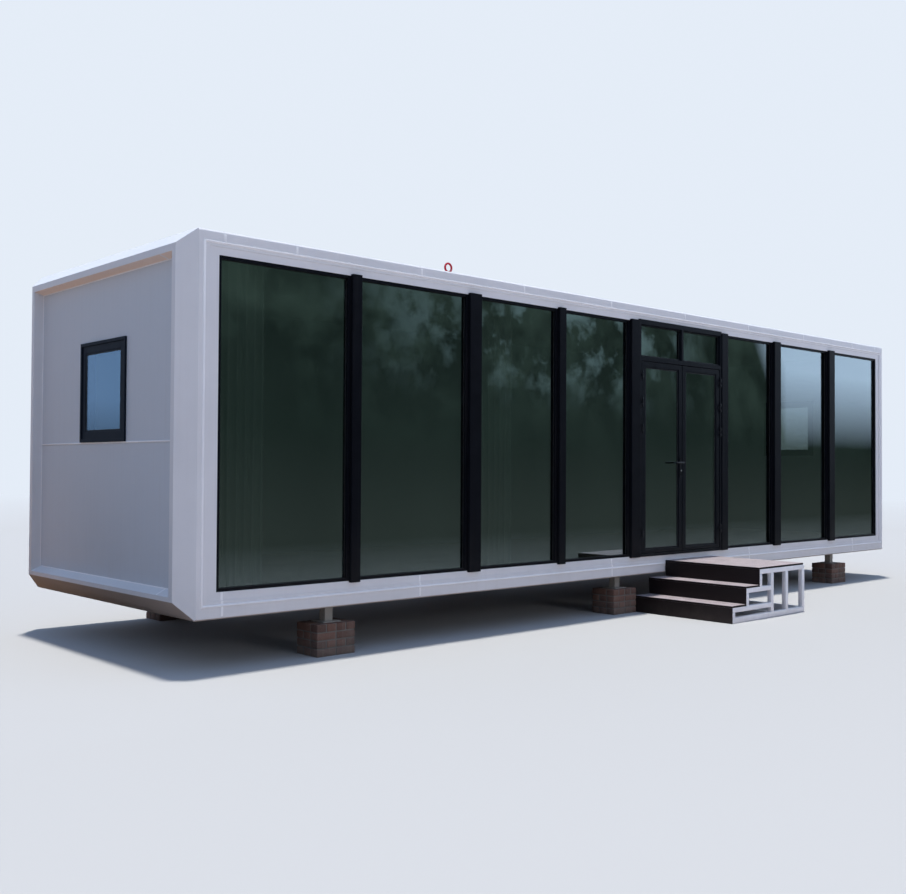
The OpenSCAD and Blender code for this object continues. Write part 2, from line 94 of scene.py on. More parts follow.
bpy.ops.object.camera_add()
camera = bpy.context.object
camera.name = "photo_camera"
ahead = Vector((math.cos(LOOK_ROUND) * math.cos(LOOK_UP), math.sin(LOOK_ROUND) * math.cos(LOOK_UP),
                math.sin(LOOK_UP)))
level_right = ahead.cross(Vector((0, 0, 1))).normalized()
level_up = level_right.cross(ahead)
right = math.cos(LEAN) * level_right + math.sin(LEAN) * level_up
up = math.cos(LEAN) * level_up - math.sin(LEAN) * level_right
turn = Matrix((right, up, -ahead)).transposed().to_4x4()
camera.matrix_world = Matrix.Translation(EYE) @ turn
camera.data.sensor_width = SENSOR_MM
camera.data.lens = LENS_MM
camera.data.clip_end = 200
bpy.context.scene.camera = camera
print("camera looks along", [round(v, 3) for v in ahead])

# %% [markdown]
# ## A few hands for modelling
#
# Pieces are modelled as by hand: a primitive is added at its size, points and edges are
# picked by their place, and operators and modifiers shape it. These helpers keep that
# short. Each one leaves the piece at the origin, unturned, with its place in its mesh,
# which is what the patterns on Object coordinates need.


# %% Modelling helpers
def deselect():
    """Nothing is selected after this, so that an operator acts on one piece alone."""
    bpy.ops.object.select_all(action="DESELECT")


def select_only(piece):
    """One piece is selected and active after this."""
    deselect()
    piece.select_set(True)
    bpy.context.view_layer.objects.active = piece


def named(name):
    """Gives the primitive that was just added its name, and returns it."""
    piece = bpy.context.object
    piece.name = name
    piece.data.name = name
    return piece


def settle(piece):
    """Writes the piece's place, turn and size into its mesh."""
    select_only(piece)
    bpy.ops.object.transform_apply(location=True, rotation=True, scale=True)
    return piece


def block(name, low, high):
    """A plain block from its lowest to its highest corner, ready to be shaped."""
    low, high = Vector(low), Vector(high)
    deselect()
    bpy.ops.mesh.primitive_cube_add(size=1, location=(low + high) / 2)
    piece = named(name)
    piece.scale = high - low
    return settle(piece)


def modify(piece, kind, **settings):
    """Adds a modifier with these settings and applies it."""
    modifier = piece.modifiers.new(kind.lower(), kind)
    for key, value in settings.items():
        setattr(modifier, key, value)
    select_only(piece)
    bpy.ops.object.modifier_apply(modifier=modifier.name)
    return piece


def soften(piece, width, segments=2):
    """Rounds the sharp edges of a piece, as paint, folding or moulding does."""
    return modify(piece, "BEVEL", width=width, segments=segments, limit_method="ANGLE")


# %% [markdown]
# ## Joining and finishing
#
# Small lengths that belong together become one piece. A finished piece gets its material,
# its gentle edges are smoothed, and it rides on the body that carries it.


# %% Joining and finishing
def join(name, pieces):
    """Makes one piece of several."""
    deselect()
    for piece in pieces:
        piece.select_set(True)
    bpy.context.view_layer.objects.active = pieces[0]
    if len(pieces) > 1:
        bpy.ops.object.join()
    return named(name)


def finish_piece(piece, material, body, smooth=30):
    """Coats a finished piece, smooths its gentle edges and lets it ride on its body."""
    select_only(piece)
    bpy.ops.object.shade_smooth_by_angle(angle=math.radians(smooth))
    piece.data.materials.clear()
    piece.data.materials.append(material)
    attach(piece, body)
    return piece


# %% [markdown]
# ## Building materials from nodes
#
# A material here is a Principled shader fed by a few shared node groups. A group is built
# once, with named sockets, and placed in each material with its own values. `add` places
# one node and sets or links its inputs, which keeps the wiring readable. Colours are
# written as three numbers everywhere.


# %% Node helpers
def feed(tree, socket, value):
    """Links a socket to an input, or sets the input's own value."""
    if isinstance(value, bpy.types.NodeSocket):
        tree.links.new(value, socket)
    else:
        socket.default_value = (*value, 1) if socket.type == "RGBA" else value


def add(tree, kind, inputs=None, **settings):
    """A new node in the tree. Inputs are given by name or number, as values or as sockets."""
    made = tree.nodes.new(kind)
    for key, value in settings.items():
        setattr(made, key, value)
    for key, value in (inputs or {}).items():
        feed(tree, made.inputs[key], value)
    return made


def math_node(tree, operation, first, second=0.0, clamp=False):
    """The output of one Math node."""
    made = add(tree, "ShaderNodeMath", {0: first, 1: second}, operation=operation, use_clamp=clamp)
    return made.outputs[0]


def times(tree, first, *others):
    """The product of several values or sockets."""
    for other in others:
        first = math_node(tree, "MULTIPLY", first, other)
    return first


def blend_colours(tree, share, first, second, blend="MIX"):
    """The output of one colour mix."""
    made = add(tree, "ShaderNodeMix", {"Factor": share, 6: first, 7: second}, data_type="RGBA",
               blend_type=blend)
    return made.outputs[2]


def remap(tree, value, low, high, to_low=0.0, to_high=1.0):
    """The output of one Map Range node, held between its ends."""
    made = add(tree, "ShaderNodeMapRange", {"Value": value, "From Min": low, "From Max": high,
                                            "To Min": to_low, "To Max": to_high})
    return made.outputs["Result"]


# %% [markdown]
# ## Where a pattern sits
#
# Every pattern reads Object coordinates, which are metres in the shared frame, so it stays
# on its piece. Some finishes also ask which way a face looks, because rain, dust and sun
# reach the tops of things and not their undersides.


# %% Places, noise and relief
def object_place(tree, stretch=(1, 1, 1)):
    """Object coordinates, in metres, stretched along each axis."""
    place = add(tree, "ShaderNodeTexCoord").outputs["Object"]
    return add(tree, "ShaderNodeMapping", {"Vector": place, "Scale": stretch}).outputs["Vector"]


def object_axes(tree):
    """Object coordinates, in metres, as separate X, Y and Z."""
    place = add(tree, "ShaderNodeTexCoord").outputs["Object"]
    return add(tree, "ShaderNodeSeparateXYZ", {"Vector": place}).outputs


def facing_up(tree):
    """1 where a face looks straight up, 0 on a wall and -1 on an underside."""
    normal = add(tree, "ShaderNodeNewGeometry").outputs["Normal"]
    return add(tree, "ShaderNodeSeparateXYZ", {"Vector": normal}).outputs["Z"]


def noise(tree, place, scale, detail=2.0, rough=0.5):
    """The grey value of a noise texture."""
    made = add(tree, "ShaderNodeTexNoise", {"Vector": place, "Scale": scale, "Detail": detail,
                                            "Roughness": rough})
    return made.outputs["Fac"]


def by_patch(tree, patch, low, high):
    """A value that runs from low to high with the soft patches of a noise."""
    return remap(tree, patch, 0.3, 0.7, low, high)


def relief(tree, height):
    """A Bump node that takes its height in metres."""
    return add(tree, "ShaderNodeBump", {"Height": height, "Distance": 1.0,
                                        "Strength": 1.0}).outputs["Normal"]


# %% [markdown]
# ## Groups and materials
#
# A group starts with its named inputs and outputs. A material starts with its Principled
# shader, and `wire` feeds that shader by the names of its inputs.


# %% Groups and materials
def start_group(name, inputs, outputs):
    """An empty node group with named sockets, and its two ends."""
    group = bpy.data.node_groups.new(name, "ShaderNodeTree")
    for label, kind, value in inputs:
        socket = group.interface.new_socket(label, in_out="INPUT", socket_type="NodeSocket" + kind)
        socket.default_value = (*value, 1) if kind == "Color" else value
    for label, kind in outputs:
        group.interface.new_socket(label, in_out="OUTPUT", socket_type="NodeSocket" + kind)
    entry = group.nodes.new("NodeGroupInput").outputs
    result = group.nodes.new("NodeGroupOutput").inputs
    return group, entry, result


def place_group(tree, group, inputs):
    """A shared group, placed in a material with its own values."""
    return add(tree, "ShaderNodeGroup", inputs, node_tree=group).outputs


def start_material(name):
    """A new material with its Principled shader."""
    material = bpy.data.materials.new(name)
    material.use_nodes = True
    return material, material.node_tree, material.node_tree.nodes["Principled BSDF"]


def wire(tree, shader, **inputs):
    """Feeds the shader with sockets or plain values. Names use _ for a space."""
    for label, value in inputs.items():
        feed(tree, shader.inputs[label.replace("_", " ")], value)


def mix_to_output(tree, share, first, second):
    """Puts a mix of two shaders on the material's output."""
    both = add(tree, "ShaderNodeMixShader", {0: share, 1: first, 2: second})
    tree.links.new(both.outputs["Shader"], tree.nodes["Material Output"].inputs["Surface"])


# %% [markdown]
# ## Dust from the ground
#
# Rain splashes soil onto the lower parts of a building and leaves faint runs below every
# edge. The group `ground dust` mixes a dust colour in by height above the ground, broken
# up by noise, and adds thin upright streaks. It gives back the colour and a mask that the
# materials also use to take away some gloss.

# %% Ground dust group
ground_dust, given, result = start_group(
    "ground dust",
    [("Colour", "Color", (0.8, 0.8, 0.8)), ("Dust", "Color", (0.42, 0.37, 0.31)),
     ("Reach", "Float", 0.9), ("Amount", "Float", 0.4), ("Streaks", "Float", 0.1)],
    [("Colour", "Color"), ("Mask", "Float")])
tree = ground_dust
UPRIGHT = (22, 22, 0.7)
PATCHES_SHOW, RUNS_SHOW = (0.35, 0.75), (0.52, 0.80)
height = object_axes(tree)["Z"]
falling = remap(tree, math_node(tree, "DIVIDE", height, given["Reach"]), 0.0, 1.0, 1.0, 0.0)
patches = remap(tree, noise(tree, object_place(tree), 3.2, detail=6, rough=0.65), *PATCHES_SHOW)
runs = remap(tree, noise(tree, object_place(tree, UPRIGHT), 1.0, detail=3, rough=0.6), *RUNS_SHOW)
low_part = times(tree, math_node(tree, "POWER", falling, 2.0), math_node(tree, "ADD", patches, 0.35),
                 given["Amount"])
mask = math_node(tree, "ADD", low_part, times(tree, runs, given["Streaks"]), clamp=True)
tree.links.new(blend_colours(tree, mask, given["Colour"], given["Dust"]), result["Colour"])
tree.links.new(mask, result["Mask"])

# %% [markdown]
# ## Sheet metal that isn't quite flat
#
# Coated steel sheet has two kinds of relief: the fine orange peel of the paint, and long
# shallow waves that were rolled or handled into the sheet. Both are heights in metres, so
# the same group serves a wide wall and a narrow fold.

# %% Sheet relief group
sheet_relief, given, result = start_group(
    "sheet relief",
    [("Peel", "Float", 0.00001), ("Waves", "Float", 0.0004)],
    [("Height", "Float")])
tree = sheet_relief
LONG_WAVES = (1.0, 1.0, 0.5)
peel = times(tree, noise(tree, object_place(tree), 260, detail=1), given["Peel"])
waves = times(tree, noise(tree, object_place(tree, LONG_WAVES), 1.6, detail=1), given["Waves"])
tree.links.new(math_node(tree, "ADD", peel, waves), result["Height"])

# %% [markdown]
# ## Uneven colour
#
# No coat is one flat colour. `uneven` lightens and darkens a colour by a small amount in
# soft patches of a given size, and also gives the patch value back for the roughness.

# %% Uneven colour group
uneven, given, result = start_group(
    "uneven",
    [("Colour", "Color", (0.5, 0.5, 0.5)), ("Size", "Float", 4.0), ("Amount", "Float", 0.06)],
    [("Colour", "Color"), ("Patch", "Float")])
tree = uneven
patch = noise(tree, object_place(tree), given["Size"], detail=5, rough=0.6)
low_tone = math_node(tree, "SUBTRACT", 1.0, given["Amount"])
high_tone = math_node(tree, "ADD", 1.0, given["Amount"])
tone = by_patch(tree, patch, low_tone, high_tone)
tree.links.new(blend_colours(tree, 1.0, given["Colour"], tone, "MULTIPLY"), result["Colour"])
tree.links.new(patch, result["Patch"])

# %% [markdown]
# ## Shallow ribs of a wall panel
#
# Sandwich panels have shallow upright ribs that stiffen the thin skin. The rib is a
# rounded wave of the coordinate along the wall. The end walls count along Y and the back
# wall along X, so the group takes the coordinate as an input.

# %% Panel rib group
panel_ribs, given, result = start_group(
    "panel ribs",
    [("Along", "Float", 0.0), ("Pitch", "Float", 0.05), ("Depth", "Float", 0.0005)],
    [("Height", "Float")])
tree = panel_ribs
turns = times(tree, math_node(tree, "DIVIDE", given["Along"], given["Pitch"]), math.tau)
wave = math_node(tree, "SINE", turns)
flat_topped = remap(tree, wave, -0.35, 0.35)
tree.links.new(times(tree, flat_topped, given["Depth"]), result["Height"])
print("node groups:", [g.name for g in bpy.data.node_groups])

# %% [markdown]
# ## White coated steel
#
# The picture frame, the roof and the end caps are one white coat with a soft gloss. In
# shade it reads slightly blue. Dust gathers near the ground, and the gloss goes where the
# dust is. Four places differ, and each gets a mask from the way a face looks and its
# height: the flat roof has weathered grey; the fold along its front edge is painted
# bright, a painted highlight of the sun on it; the low undersides, such as those of the
# caps, are painted dark, a painted shade; and the soffit of each end recess is painted
# cream, a painted warm light thrown up from the ground. The raised bead round the front
# stands proud of the box, and is lighter, but high up, where it looks up, it is painted
# grey, a painted shade that dims the sun on it. A mask is 0 at the first number of its
# range and 1 at the second. Heights are in metres, and the way a face looks runs from 1,
# straight up, to -1, straight down.

# %% Places on the white coat
# Weathered grey of the flat roof, and painted shade on the bead's upper side
ROOF_WEATHER_AND_BEAD_SHADE = (0.50, 0.51, 0.53)
# Painted highlight: the sun on the fold along the front top edge
PAINTED_FOLD_HIGHLIGHT = (0.83, 0.84, 0.86)
# Painted shade on the low undersides
PAINTED_UNDERSIDE_SHADE = (0.46, 0.40, 0.36)
# Painted warm light thrown up from the ground onto the recess soffits
PAINTED_SOFFIT_WARM_LIGHT = (0.95, 0.80, 0.69)
HIGH_UP, LOW_DOWN = (1.5, 3.0), (0.9, 0.6)
CAP_START = BOX_LENGTH / 2 + 0.003
IN_CAP = (CAP_START, CAP_START + 0.01)
BEFORE_FRONT = (CORNER.y - 0.0004, CORNER.y - 0.0012)
FLAT_TOP, UNDERSIDE = (0.93, 0.99), (-0.3, -0.6)
FOLD_BEGINS, FOLD_ENDS = (0.10, 0.35), (0.74, 0.62)
BEAD_LOOKS_UP = (0.15, 0.6)
DUST_DULLS = 0.45


# %% Coated steel
def white_coat(tree, colour, trim):
    """The white coat by place: weathered roof, painted sun highlight, shade and warm light, light bead."""
    place = object_axes(tree)
    facing = facing_up(tree)
    high = remap(tree, place["Z"], *HIGH_UP)
    in_cap = remap(tree, math_node(tree, "ABSOLUTE", place["X"]), *IN_CAP)
    # The fold's mask, where its painted highlight goes
    fold = times(tree, remap(tree, facing, *FOLD_BEGINS), remap(tree, facing, *FOLD_ENDS), high)
    flat = times(tree, high, remap(tree, facing, *FLAT_TOP))
    down = remap(tree, facing, *UNDERSIDE)
    # Low undersides, where the painted shade goes
    under = times(tree, down, remap(tree, place["Z"], *LOW_DOWN))
    # Soffits in the end recesses, where the painted warm light goes
    soffit = times(tree, down, high, in_cap)
    coat = colour
    for mask, tone in ((fold, PAINTED_FOLD_HIGHLIGHT), (flat, ROOF_WEATHER_AND_BEAD_SHADE), (under, PAINTED_UNDERSIDE_SHADE), (soffit, PAINTED_SOFFIT_WARM_LIGHT)):
        coat = blend_colours(tree, mask, coat, tone)
    # High up, the bead's upper side is painted grey, a painted shade against the sun on it
    upper_bead = times(tree, remap(tree, facing, *BEAD_LOOKS_UP), high)
    bead = blend_colours(tree, upper_bead, trim, ROOF_WEATHER_AND_BEAD_SHADE)
    return blend_colours(tree, remap(tree, place["Y"], *BEFORE_FRONT), coat, bead)


def coated_steel(name, colour, rough, reach, dust, streaks, waves, trim=None):
    """Coated sheet steel with dust near the ground. With a trim colour it is the white coat."""
    material, tree, shader = start_material(name)
    coat = white_coat(tree, colour, trim) if trim else colour
    patch = place_group(tree, uneven, {"Colour": coat, "Size": 1.8, "Amount": 0.025})
    dusty = place_group(tree, ground_dust, {"Colour": patch["Colour"], "Reach": reach, "Amount": dust,
                                            "Streaks": streaks})
    bumps = place_group(tree, sheet_relief, {"Waves": waves})
    clean = by_patch(tree, patch["Patch"], rough - 0.04, rough + 0.05)
    shine = math_node(tree, "ADD", clean, times(tree, dusty["Mask"], DUST_DULLS), clamp=True)
    wire(tree, shader, Base_Color=dusty["Colour"], Roughness=shine, Normal=relief(tree, bumps["Height"]))
    return material


white_steel = coated_steel("white_steel", (0.74, 0.75, 0.775), rough=0.36, reach=1.1, dust=0.30,
                           streaks=0.05, waves=0.0005, trim=(0.90, 0.91, 0.94))
stair_paint = coated_steel("stair_paint", (0.87, 0.885, 0.91), rough=0.30, reach=0.35, dust=0.30,
                           streaks=0.08, waves=0.0001)
# The legs' grey is darkened, a painted shade for their place under the cabin
legs_grey_and_shade = coated_steel("legs_grey_and_shade", (0.27, 0.26, 0.235), rough=0.55, reach=0.6, dust=0.8,
                         streaks=0.3, waves=0.0)
primer = coated_steel("primer", (0.055, 0.055, 0.057), rough=0.62, reach=0.7, dust=0.5,
                      streaks=0.2, waves=0.0)

# %% [markdown]
# ## Wall panels
#
# The recessed end panels and the back wall are the same off-white sheet with shallow
# ribs, a little duller and greyer than the frame round them.


# %% Wall panels
def ribbed_panel(name, axis):
    """Off-white panel whose ribs are counted along the named axis."""
    material, tree, shader = start_material(name)
    patch = place_group(tree, uneven, {"Colour": (0.58, 0.625, 0.68), "Size": 1.1, "Amount": 0.03})
    dusty = place_group(tree, ground_dust, {"Colour": patch["Colour"], "Reach": 1.5, "Amount": 0.28,
                                            "Streaks": 0.07})
    ribs = place_group(tree, panel_ribs, {"Along": object_axes(tree)[axis], "Pitch": 0.075,
                                          "Depth": 0.00035})
    bumps = place_group(tree, sheet_relief, {"Waves": 0.0005})
    total = math_node(tree, "ADD", ribs["Height"], bumps["Height"])
    shine = by_patch(tree, patch["Patch"], 0.40, 0.52)
    wire(tree, shader, Base_Color=dusty["Colour"], Roughness=shine, Normal=relief(tree, total))
    return material


end_panel = ribbed_panel("end_panel", "Y")
back_panel = ribbed_panel("back_panel", "X")

# %% [markdown]
# ## Powder-coated aluminium
#
# The mullions, channels and door profiles have a satin, almost black powder coat. Powder
# melts into a fine pebbled skin, finer than orange peel, and a little dust sits on it.
# Hinges and handle have a smoother coat, with more gloss.


# %% Powder coat
def powder_coat(name, colour, rough, pebble, gloss):
    """Satin powder coat with its pebbled skin."""
    material, tree, shader = start_material(name)
    patch = place_group(tree, uneven, {"Colour": colour, "Size": 9.0, "Amount": 0.10})
    dusty = place_group(tree, ground_dust, {"Colour": patch["Colour"], "Dust": (0.10, 0.095, 0.085),
                                            "Reach": 1.3, "Amount": 0.35, "Streaks": 0.06})
    skin = times(tree, noise(tree, object_place(tree), 900), pebble)
    shine = by_patch(tree, patch["Patch"], rough - 0.05, rough + 0.06)
    wire(tree, shader, Base_Color=dusty["Colour"], Roughness=shine, Normal=relief(tree, skin),
         Specular_IOR_Level=gloss)
    return material


PEBBLE, FINE_PEBBLE = 0.000012, 0.000004
black_aluminium = powder_coat("black_aluminium", (0.0045, 0.0053, 0.0082), 0.40, PEBBLE, gloss=0.055)
door_metal = powder_coat("door_metal", (0.0052, 0.0066, 0.0098), 0.36, PEBBLE, gloss=0.065)
window_metal = powder_coat("window_metal", (0.0085, 0.0125, 0.0215), 0.46, PEBBLE, gloss=0.05)
hardware = powder_coat("hardware", (0.010, 0.011, 0.014), 0.28, FINE_PEBBLE, gloss=0.14)

# %% [markdown]
# ## Tinted glass
#
# The front is grey-green reflecting glass: it hides the room by day and mirrors what is
# before it. A Principled shader with full transmission bends and mirrors the light by
# itself. Lamps can't shine through bent glass without much noise, so for shadow rays the
# pane is swapped for a plain tinted filter, and the room behind is lit as it should be.


# %% Glass
def pane_glass(name, tint, mirror, ior):
    """Reflecting glass that lets lamps through as a filter of the same tint."""
    material, tree, shader = start_material(name)
    wire(tree, shader, Base_Color=tint, Roughness=0.0, IOR=ior, Transmission_Weight=1.0,
         Specular_Tint=mirror)
    once = [math.sqrt(part) for part in tint]
    filter_light = add(tree, "ShaderNodeBsdfTransparent", {"Color": once})
    shadow = add(tree, "ShaderNodeLightPath").outputs["Is Shadow Ray"]
    mix_to_output(tree, shadow, shader.outputs["BSDF"], filter_light.outputs["BSDF"])
    return material


front_glass = pane_glass("front_glass", (0.30, 0.37, 0.34), (0.78, 0.93, 1.0), 2.9)
window_glass = pane_glass("window_glass", (0.30, 0.40, 0.50), (0.235, 0.59, 1.0), 2.4)

# %% [markdown]
# ## Small finishes
#
# Rubber, sealant, red enamel and zinc are small on the cabin but close to the eye at a
# seam or a screw. Each is a few numbers on the shader and one shared group.


# %% Small finishes
def simple_finish(name, colour, rough, amount, size, bump=0.0, metal=0.0):
    """A small part's finish: uneven colour and a little relief."""
    material, tree, shader = start_material(name)
    patch = place_group(tree, uneven, {"Colour": colour, "Size": size, "Amount": amount})
    skin = times(tree, noise(tree, object_place(tree), 420), bump)
    shine = by_patch(tree, patch["Patch"], rough - 0.06, rough + 0.06)
    wire(tree, shader, Base_Color=patch["Colour"], Roughness=shine, Normal=relief(tree, skin),
         Metallic=metal)
    return material


rubber = simple_finish("rubber", (0.011, 0.011, 0.012), 0.62, amount=0.10, size=40, bump=0.00002)
sealant = simple_finish("sealant", (0.90, 0.905, 0.92), 0.34, amount=0.03, size=25, bump=0.00003)
roof_sealant = simple_finish("roof_sealant", (0.36, 0.365, 0.375), 0.55, amount=0.10, size=9,
                             bump=0.00005)
red_enamel = simple_finish("red_enamel", (0.52, 0.012, 0.030), 0.22, amount=0.08, size=18,
                           bump=0.00001)
zinc = simple_finish("zinc", (0.55, 0.56, 0.57), 0.34, amount=0.08, size=60, bump=0.00001, metal=1.0)
track_white = simple_finish("track_white", (0.70, 0.70, 0.69), 0.35, amount=0.02, size=10)

# %% [markdown]
# ## Bricks and mortar
#
# Each brick is a piece of its own, so the fired clay only needs colour that changes from
# brick to brick. That tone comes from a face attribute that the modelling step writes.
# Both clay tones are darker than bare red-brown clay, a painted shade for the piers' place
# under the cabin. Pits and light grit come from one noise, the pits from its low values and
# the grit from its high ones.

# %% Clay and mortar
# Clay tones, darkened as painted shade for the piers under the cabin
CLAY_SHADED_DARK, CLAY_SHADED_LIGHT = (0.062, 0.026, 0.019), (0.145, 0.066, 0.045)
CLAY_SPECKS = (0.42, 0.30, 0.22)
MORTAR_DARK, MORTAR_LIGHT = (0.10, 0.093, 0.086), (0.24, 0.225, 0.20)
PIT_DEPTH, SAND_DEPTH = 0.0006, 0.0008


def fired_clay():
    """Red-brown fired clay darkened as painted shade, its tone taken from the bricks' attribute."""
    material, tree, shader = start_material("fired_clay")
    tone = add(tree, "ShaderNodeAttribute", attribute_name="tone").outputs["Fac"]
    body = blend_colours(tree, tone, CLAY_SHADED_DARK, CLAY_SHADED_LIGHT)
    grit = noise(tree, object_place(tree), 160, detail=5, rough=0.7)
    speckled = blend_colours(tree, remap(tree, grit, 0.55, 0.75, 0, 0.5), body, CLAY_SPECKS)
    dusty = place_group(tree, ground_dust, {"Colour": speckled, "Reach": 0.5, "Amount": 0.35,
                                            "Streaks": 0.15})
    pits = times(tree, remap(tree, grit, 0.3, 0.6), PIT_DEPTH)
    wire(tree, shader, Base_Color=dusty["Colour"], Roughness=0.9, Normal=relief(tree, pits))
    return material


def lime_mortar():
    """Grey mortar with sand in it."""
    material, tree, shader = start_material("lime_mortar")
    sand = noise(tree, object_place(tree), 500, detail=4, rough=0.7)
    body = blend_colours(tree, sand, MORTAR_DARK, MORTAR_LIGHT)
    wire(tree, shader, Base_Color=body, Roughness=0.95,
         Normal=relief(tree, times(tree, sand, SAND_DEPTH)))
    return material


clay = fired_clay()
mortar = lime_mortar()

# %% [markdown]
# ## Composite boards
#
# The stair is clad in dark brown boards of wood flour and plastic. They are almost black
# in shade, while seen along its face a board mirrors the sky and turns pale. The colour
# has long faint streaks along the board, and the faces that look up are painted pale:
# partly fine dust, partly a painted sunlit sheen.

# %% Boards
BOARD_DARK, BOARD_LIGHT = (0.0055, 0.0035, 0.0042), (0.0160, 0.0100, 0.0102)
# The first colour is the tops' pale tone: partly fine dust, partly a painted sunlit sheen
DUST_AND_SUNLIT_SHEEN, SPLASHED_SOIL = (0.50, 0.43, 0.435), (0.20, 0.165, 0.14)
STREAK_DEPTH = 0.00025
ALONG_BOARD = (90, 3.0, 90)


def composite_board():
    """Wood composite, streaked along Y, pale where it looks up with dust and painted sheen."""
    material, tree, shader = start_material("composite_board")
    streak = noise(tree, object_place(tree, ALONG_BOARD), 1.0, detail=4, rough=0.6)
    body = blend_colours(tree, streak, BOARD_DARK, BOARD_LIGHT)
    # Tops are painted pale, partly dust and partly a painted sunlit sheen
    upward = remap(tree, facing_up(tree), 0.6, 0.95)
    cloudy = remap(tree, noise(tree, object_place(tree), 6, detail=5, rough=0.65), 0.35, 0.7, 0.72, 0.95)
    topped = blend_colours(tree, times(tree, upward, cloudy), body, DUST_AND_SUNLIT_SHEEN)
    dusty = place_group(tree, ground_dust, {"Colour": topped, "Dust": SPLASHED_SOIL, "Reach": 0.32,
                                            "Amount": 0.22, "Streaks": 0.0})
    shine = by_patch(tree, streak, 0.42, 0.60)
    wire(tree, shader, Base_Color=dusty["Colour"], Roughness=shine,
         Normal=relief(tree, times(tree, streak, STREAK_DEPTH)), Specular_IOR_Level=0.15)
    return material


board = composite_board()

# %% [markdown]
# ## Laminate floor
#
# The floor inside is a laminate of planks, laid along the cabin. A brick texture at a
# plank's size draws them, with a dark line sunk a little at each joint, and stretched noise
# draws the grain.

# %% Laminate
PLANK_LENGTH, PLANK_WIDTH = 1.2, 0.19
JOINT_WIDTH, JOINT_DEPTH = 0.0015, -0.0008
PLANK_SHIFT = 0.37
ALONG_GRAIN = (4, 60, 60)


def laminate_floor():
    """Laminate planks with their grain and joints."""
    material, tree, shader = start_material("laminate_floor")
    planks = add(tree, "ShaderNodeTexBrick",
                 {"Vector": object_place(tree), "Color1": (0.33, 0.24, 0.155),
                  "Color2": (0.45, 0.35, 0.25), "Mortar": (0.10, 0.07, 0.045), "Scale": 1.0,
                  "Mortar Size": JOINT_WIDTH, "Brick Width": PLANK_LENGTH, "Row Height": PLANK_WIDTH},
                 offset=PLANK_SHIFT)
    grain = noise(tree, object_place(tree, ALONG_GRAIN), 1.0, detail=6, rough=0.65)
    body = blend_colours(tree, remap(tree, grain, 0.35, 0.7, 0, 0.45), planks.outputs["Color"],
                         (0.22, 0.15, 0.095))
    wire(tree, shader, Base_Color=body, Roughness=0.38,
         Normal=relief(tree, times(tree, planks.outputs["Fac"], JOINT_DEPTH)))
    return material


laminate = laminate_floor()

# %% [markdown]
# ## Voile
#
# A sheer curtain is a grid of fine threads with air between them. Thread by thread it
# would never show, so the weave is an alpha: denser where a pleat is seen edge on, which
# the geometry does by itself, and here and there a thicker thread.

# %% Voile
ALONG_THREAD = (300, 300, 6)


def voile_cloth():
    """Thin white cloth, part open, with slubs along the threads."""
    material, tree, shader = start_material("voile")
    slub = noise(tree, object_place(tree, ALONG_THREAD), 1.0, detail=3, rough=0.6)
    body = blend_colours(tree, slub, (0.58, 0.60, 0.58), (0.80, 0.81, 0.79))
    cover = by_patch(tree, slub, 0.45, 0.75)
    wire(tree, shader, Base_Color=body, Roughness=0.85, Alpha=cover, Sheen_Weight=0.2)
    return material


voile = voile_cloth()
print("materials:", len(bpy.data.materials))

# %% [markdown]
# ## Coating the frame
#
# Every CAD node keeps its shape and gets its real finish. The list reads like a paint
# schedule: the finish first, then the pieces that get it.

# %% Paint schedule
PAINT_SCHEDULE = [
    (white_steel, ["roof", "left_end_cap", "right_end_cap", "front_head", "front_sill",
                   "front_left_jamb", "front_right_jamb"]),
    (end_panel, ["left_end_wall", "right_end_wall"]),
    (back_panel, ["back_wall"]),
    (black_aluminium, ["left_mullions", "right_mullions", "glazing_channels"]),
    (window_metal, ["left_window_frame", "right_window_frame"]),
    (door_metal, ["door_frame", "left_leaf", "right_leaf"]),
    (hardware, ["frame_hinges", "left_leaf_hinges", "right_leaf_hinges", "door_handle"]),
    (front_glass, ["left_glass", "right_glass", "transom_glass", "left_leaf_glass",
                   "right_leaf_glass"]),
    (window_glass, ["left_window_glass", "right_window_glass"]),
    (red_enamel, ["lifting_eyes"]),
    (legs_grey_and_shade, ["legs"]),
    (primer, ["base_frame"]),
    (mortar, ["brick_piers"]),
    (stair_paint, ["stair_front_side", "stair_back_side", "stair_cross_tubes"]),
    (board, ["risers", "lower_tread", "upper_tread", "platform_deck"]),
    (laminate, ["floor_deck"]),
    (track_white, ["curtain_track"]),
    (voile, ["left_curtain", "middle_curtain"]),
]
for finish, coated in PAINT_SCHEDULE:
    for name in coated:
        nodes[name].data.materials.clear()
        nodes[name].data.materials.append(finish)
print("coated nodes:", sum(len(coated) for _, coated in PAINT_SCHEDULE), "of", len(nodes))

# %% [markdown]
# ## Folded and painted edges
#
# A CAD edge is perfectly sharp and catches no light. On the real cabin each edge is a
# fold or an extrusion with a small radius. The node's own mesh must stay as it is, so the
# radius comes from live modifiers: doubles are welded, flat triangles are dissolved into
# whole faces, and the sharp edges are bevelled.

# %% Edge radii
WELD_REACH = 0.00002
FLAT_ANGLE, FOLD_ANGLE = math.radians(0.5), math.radians(28)


def round_edges(name, radius):
    """Live modifiers that give a CAD node a small edge radius."""
    piece = nodes[name]
    weld = piece.modifiers.new("weld", "WELD")
    weld.merge_threshold = WELD_REACH
    flatten = piece.modifiers.new("flatten", "DECIMATE")
    flatten.decimate_type = "DISSOLVE"
    flatten.angle_limit = FLAT_ANGLE
    fold = piece.modifiers.new("fold", "BEVEL")
    fold.width, fold.segments = radius, 2
    fold.limit_method = "ANGLE"
    fold.angle_limit = FOLD_ANGLE


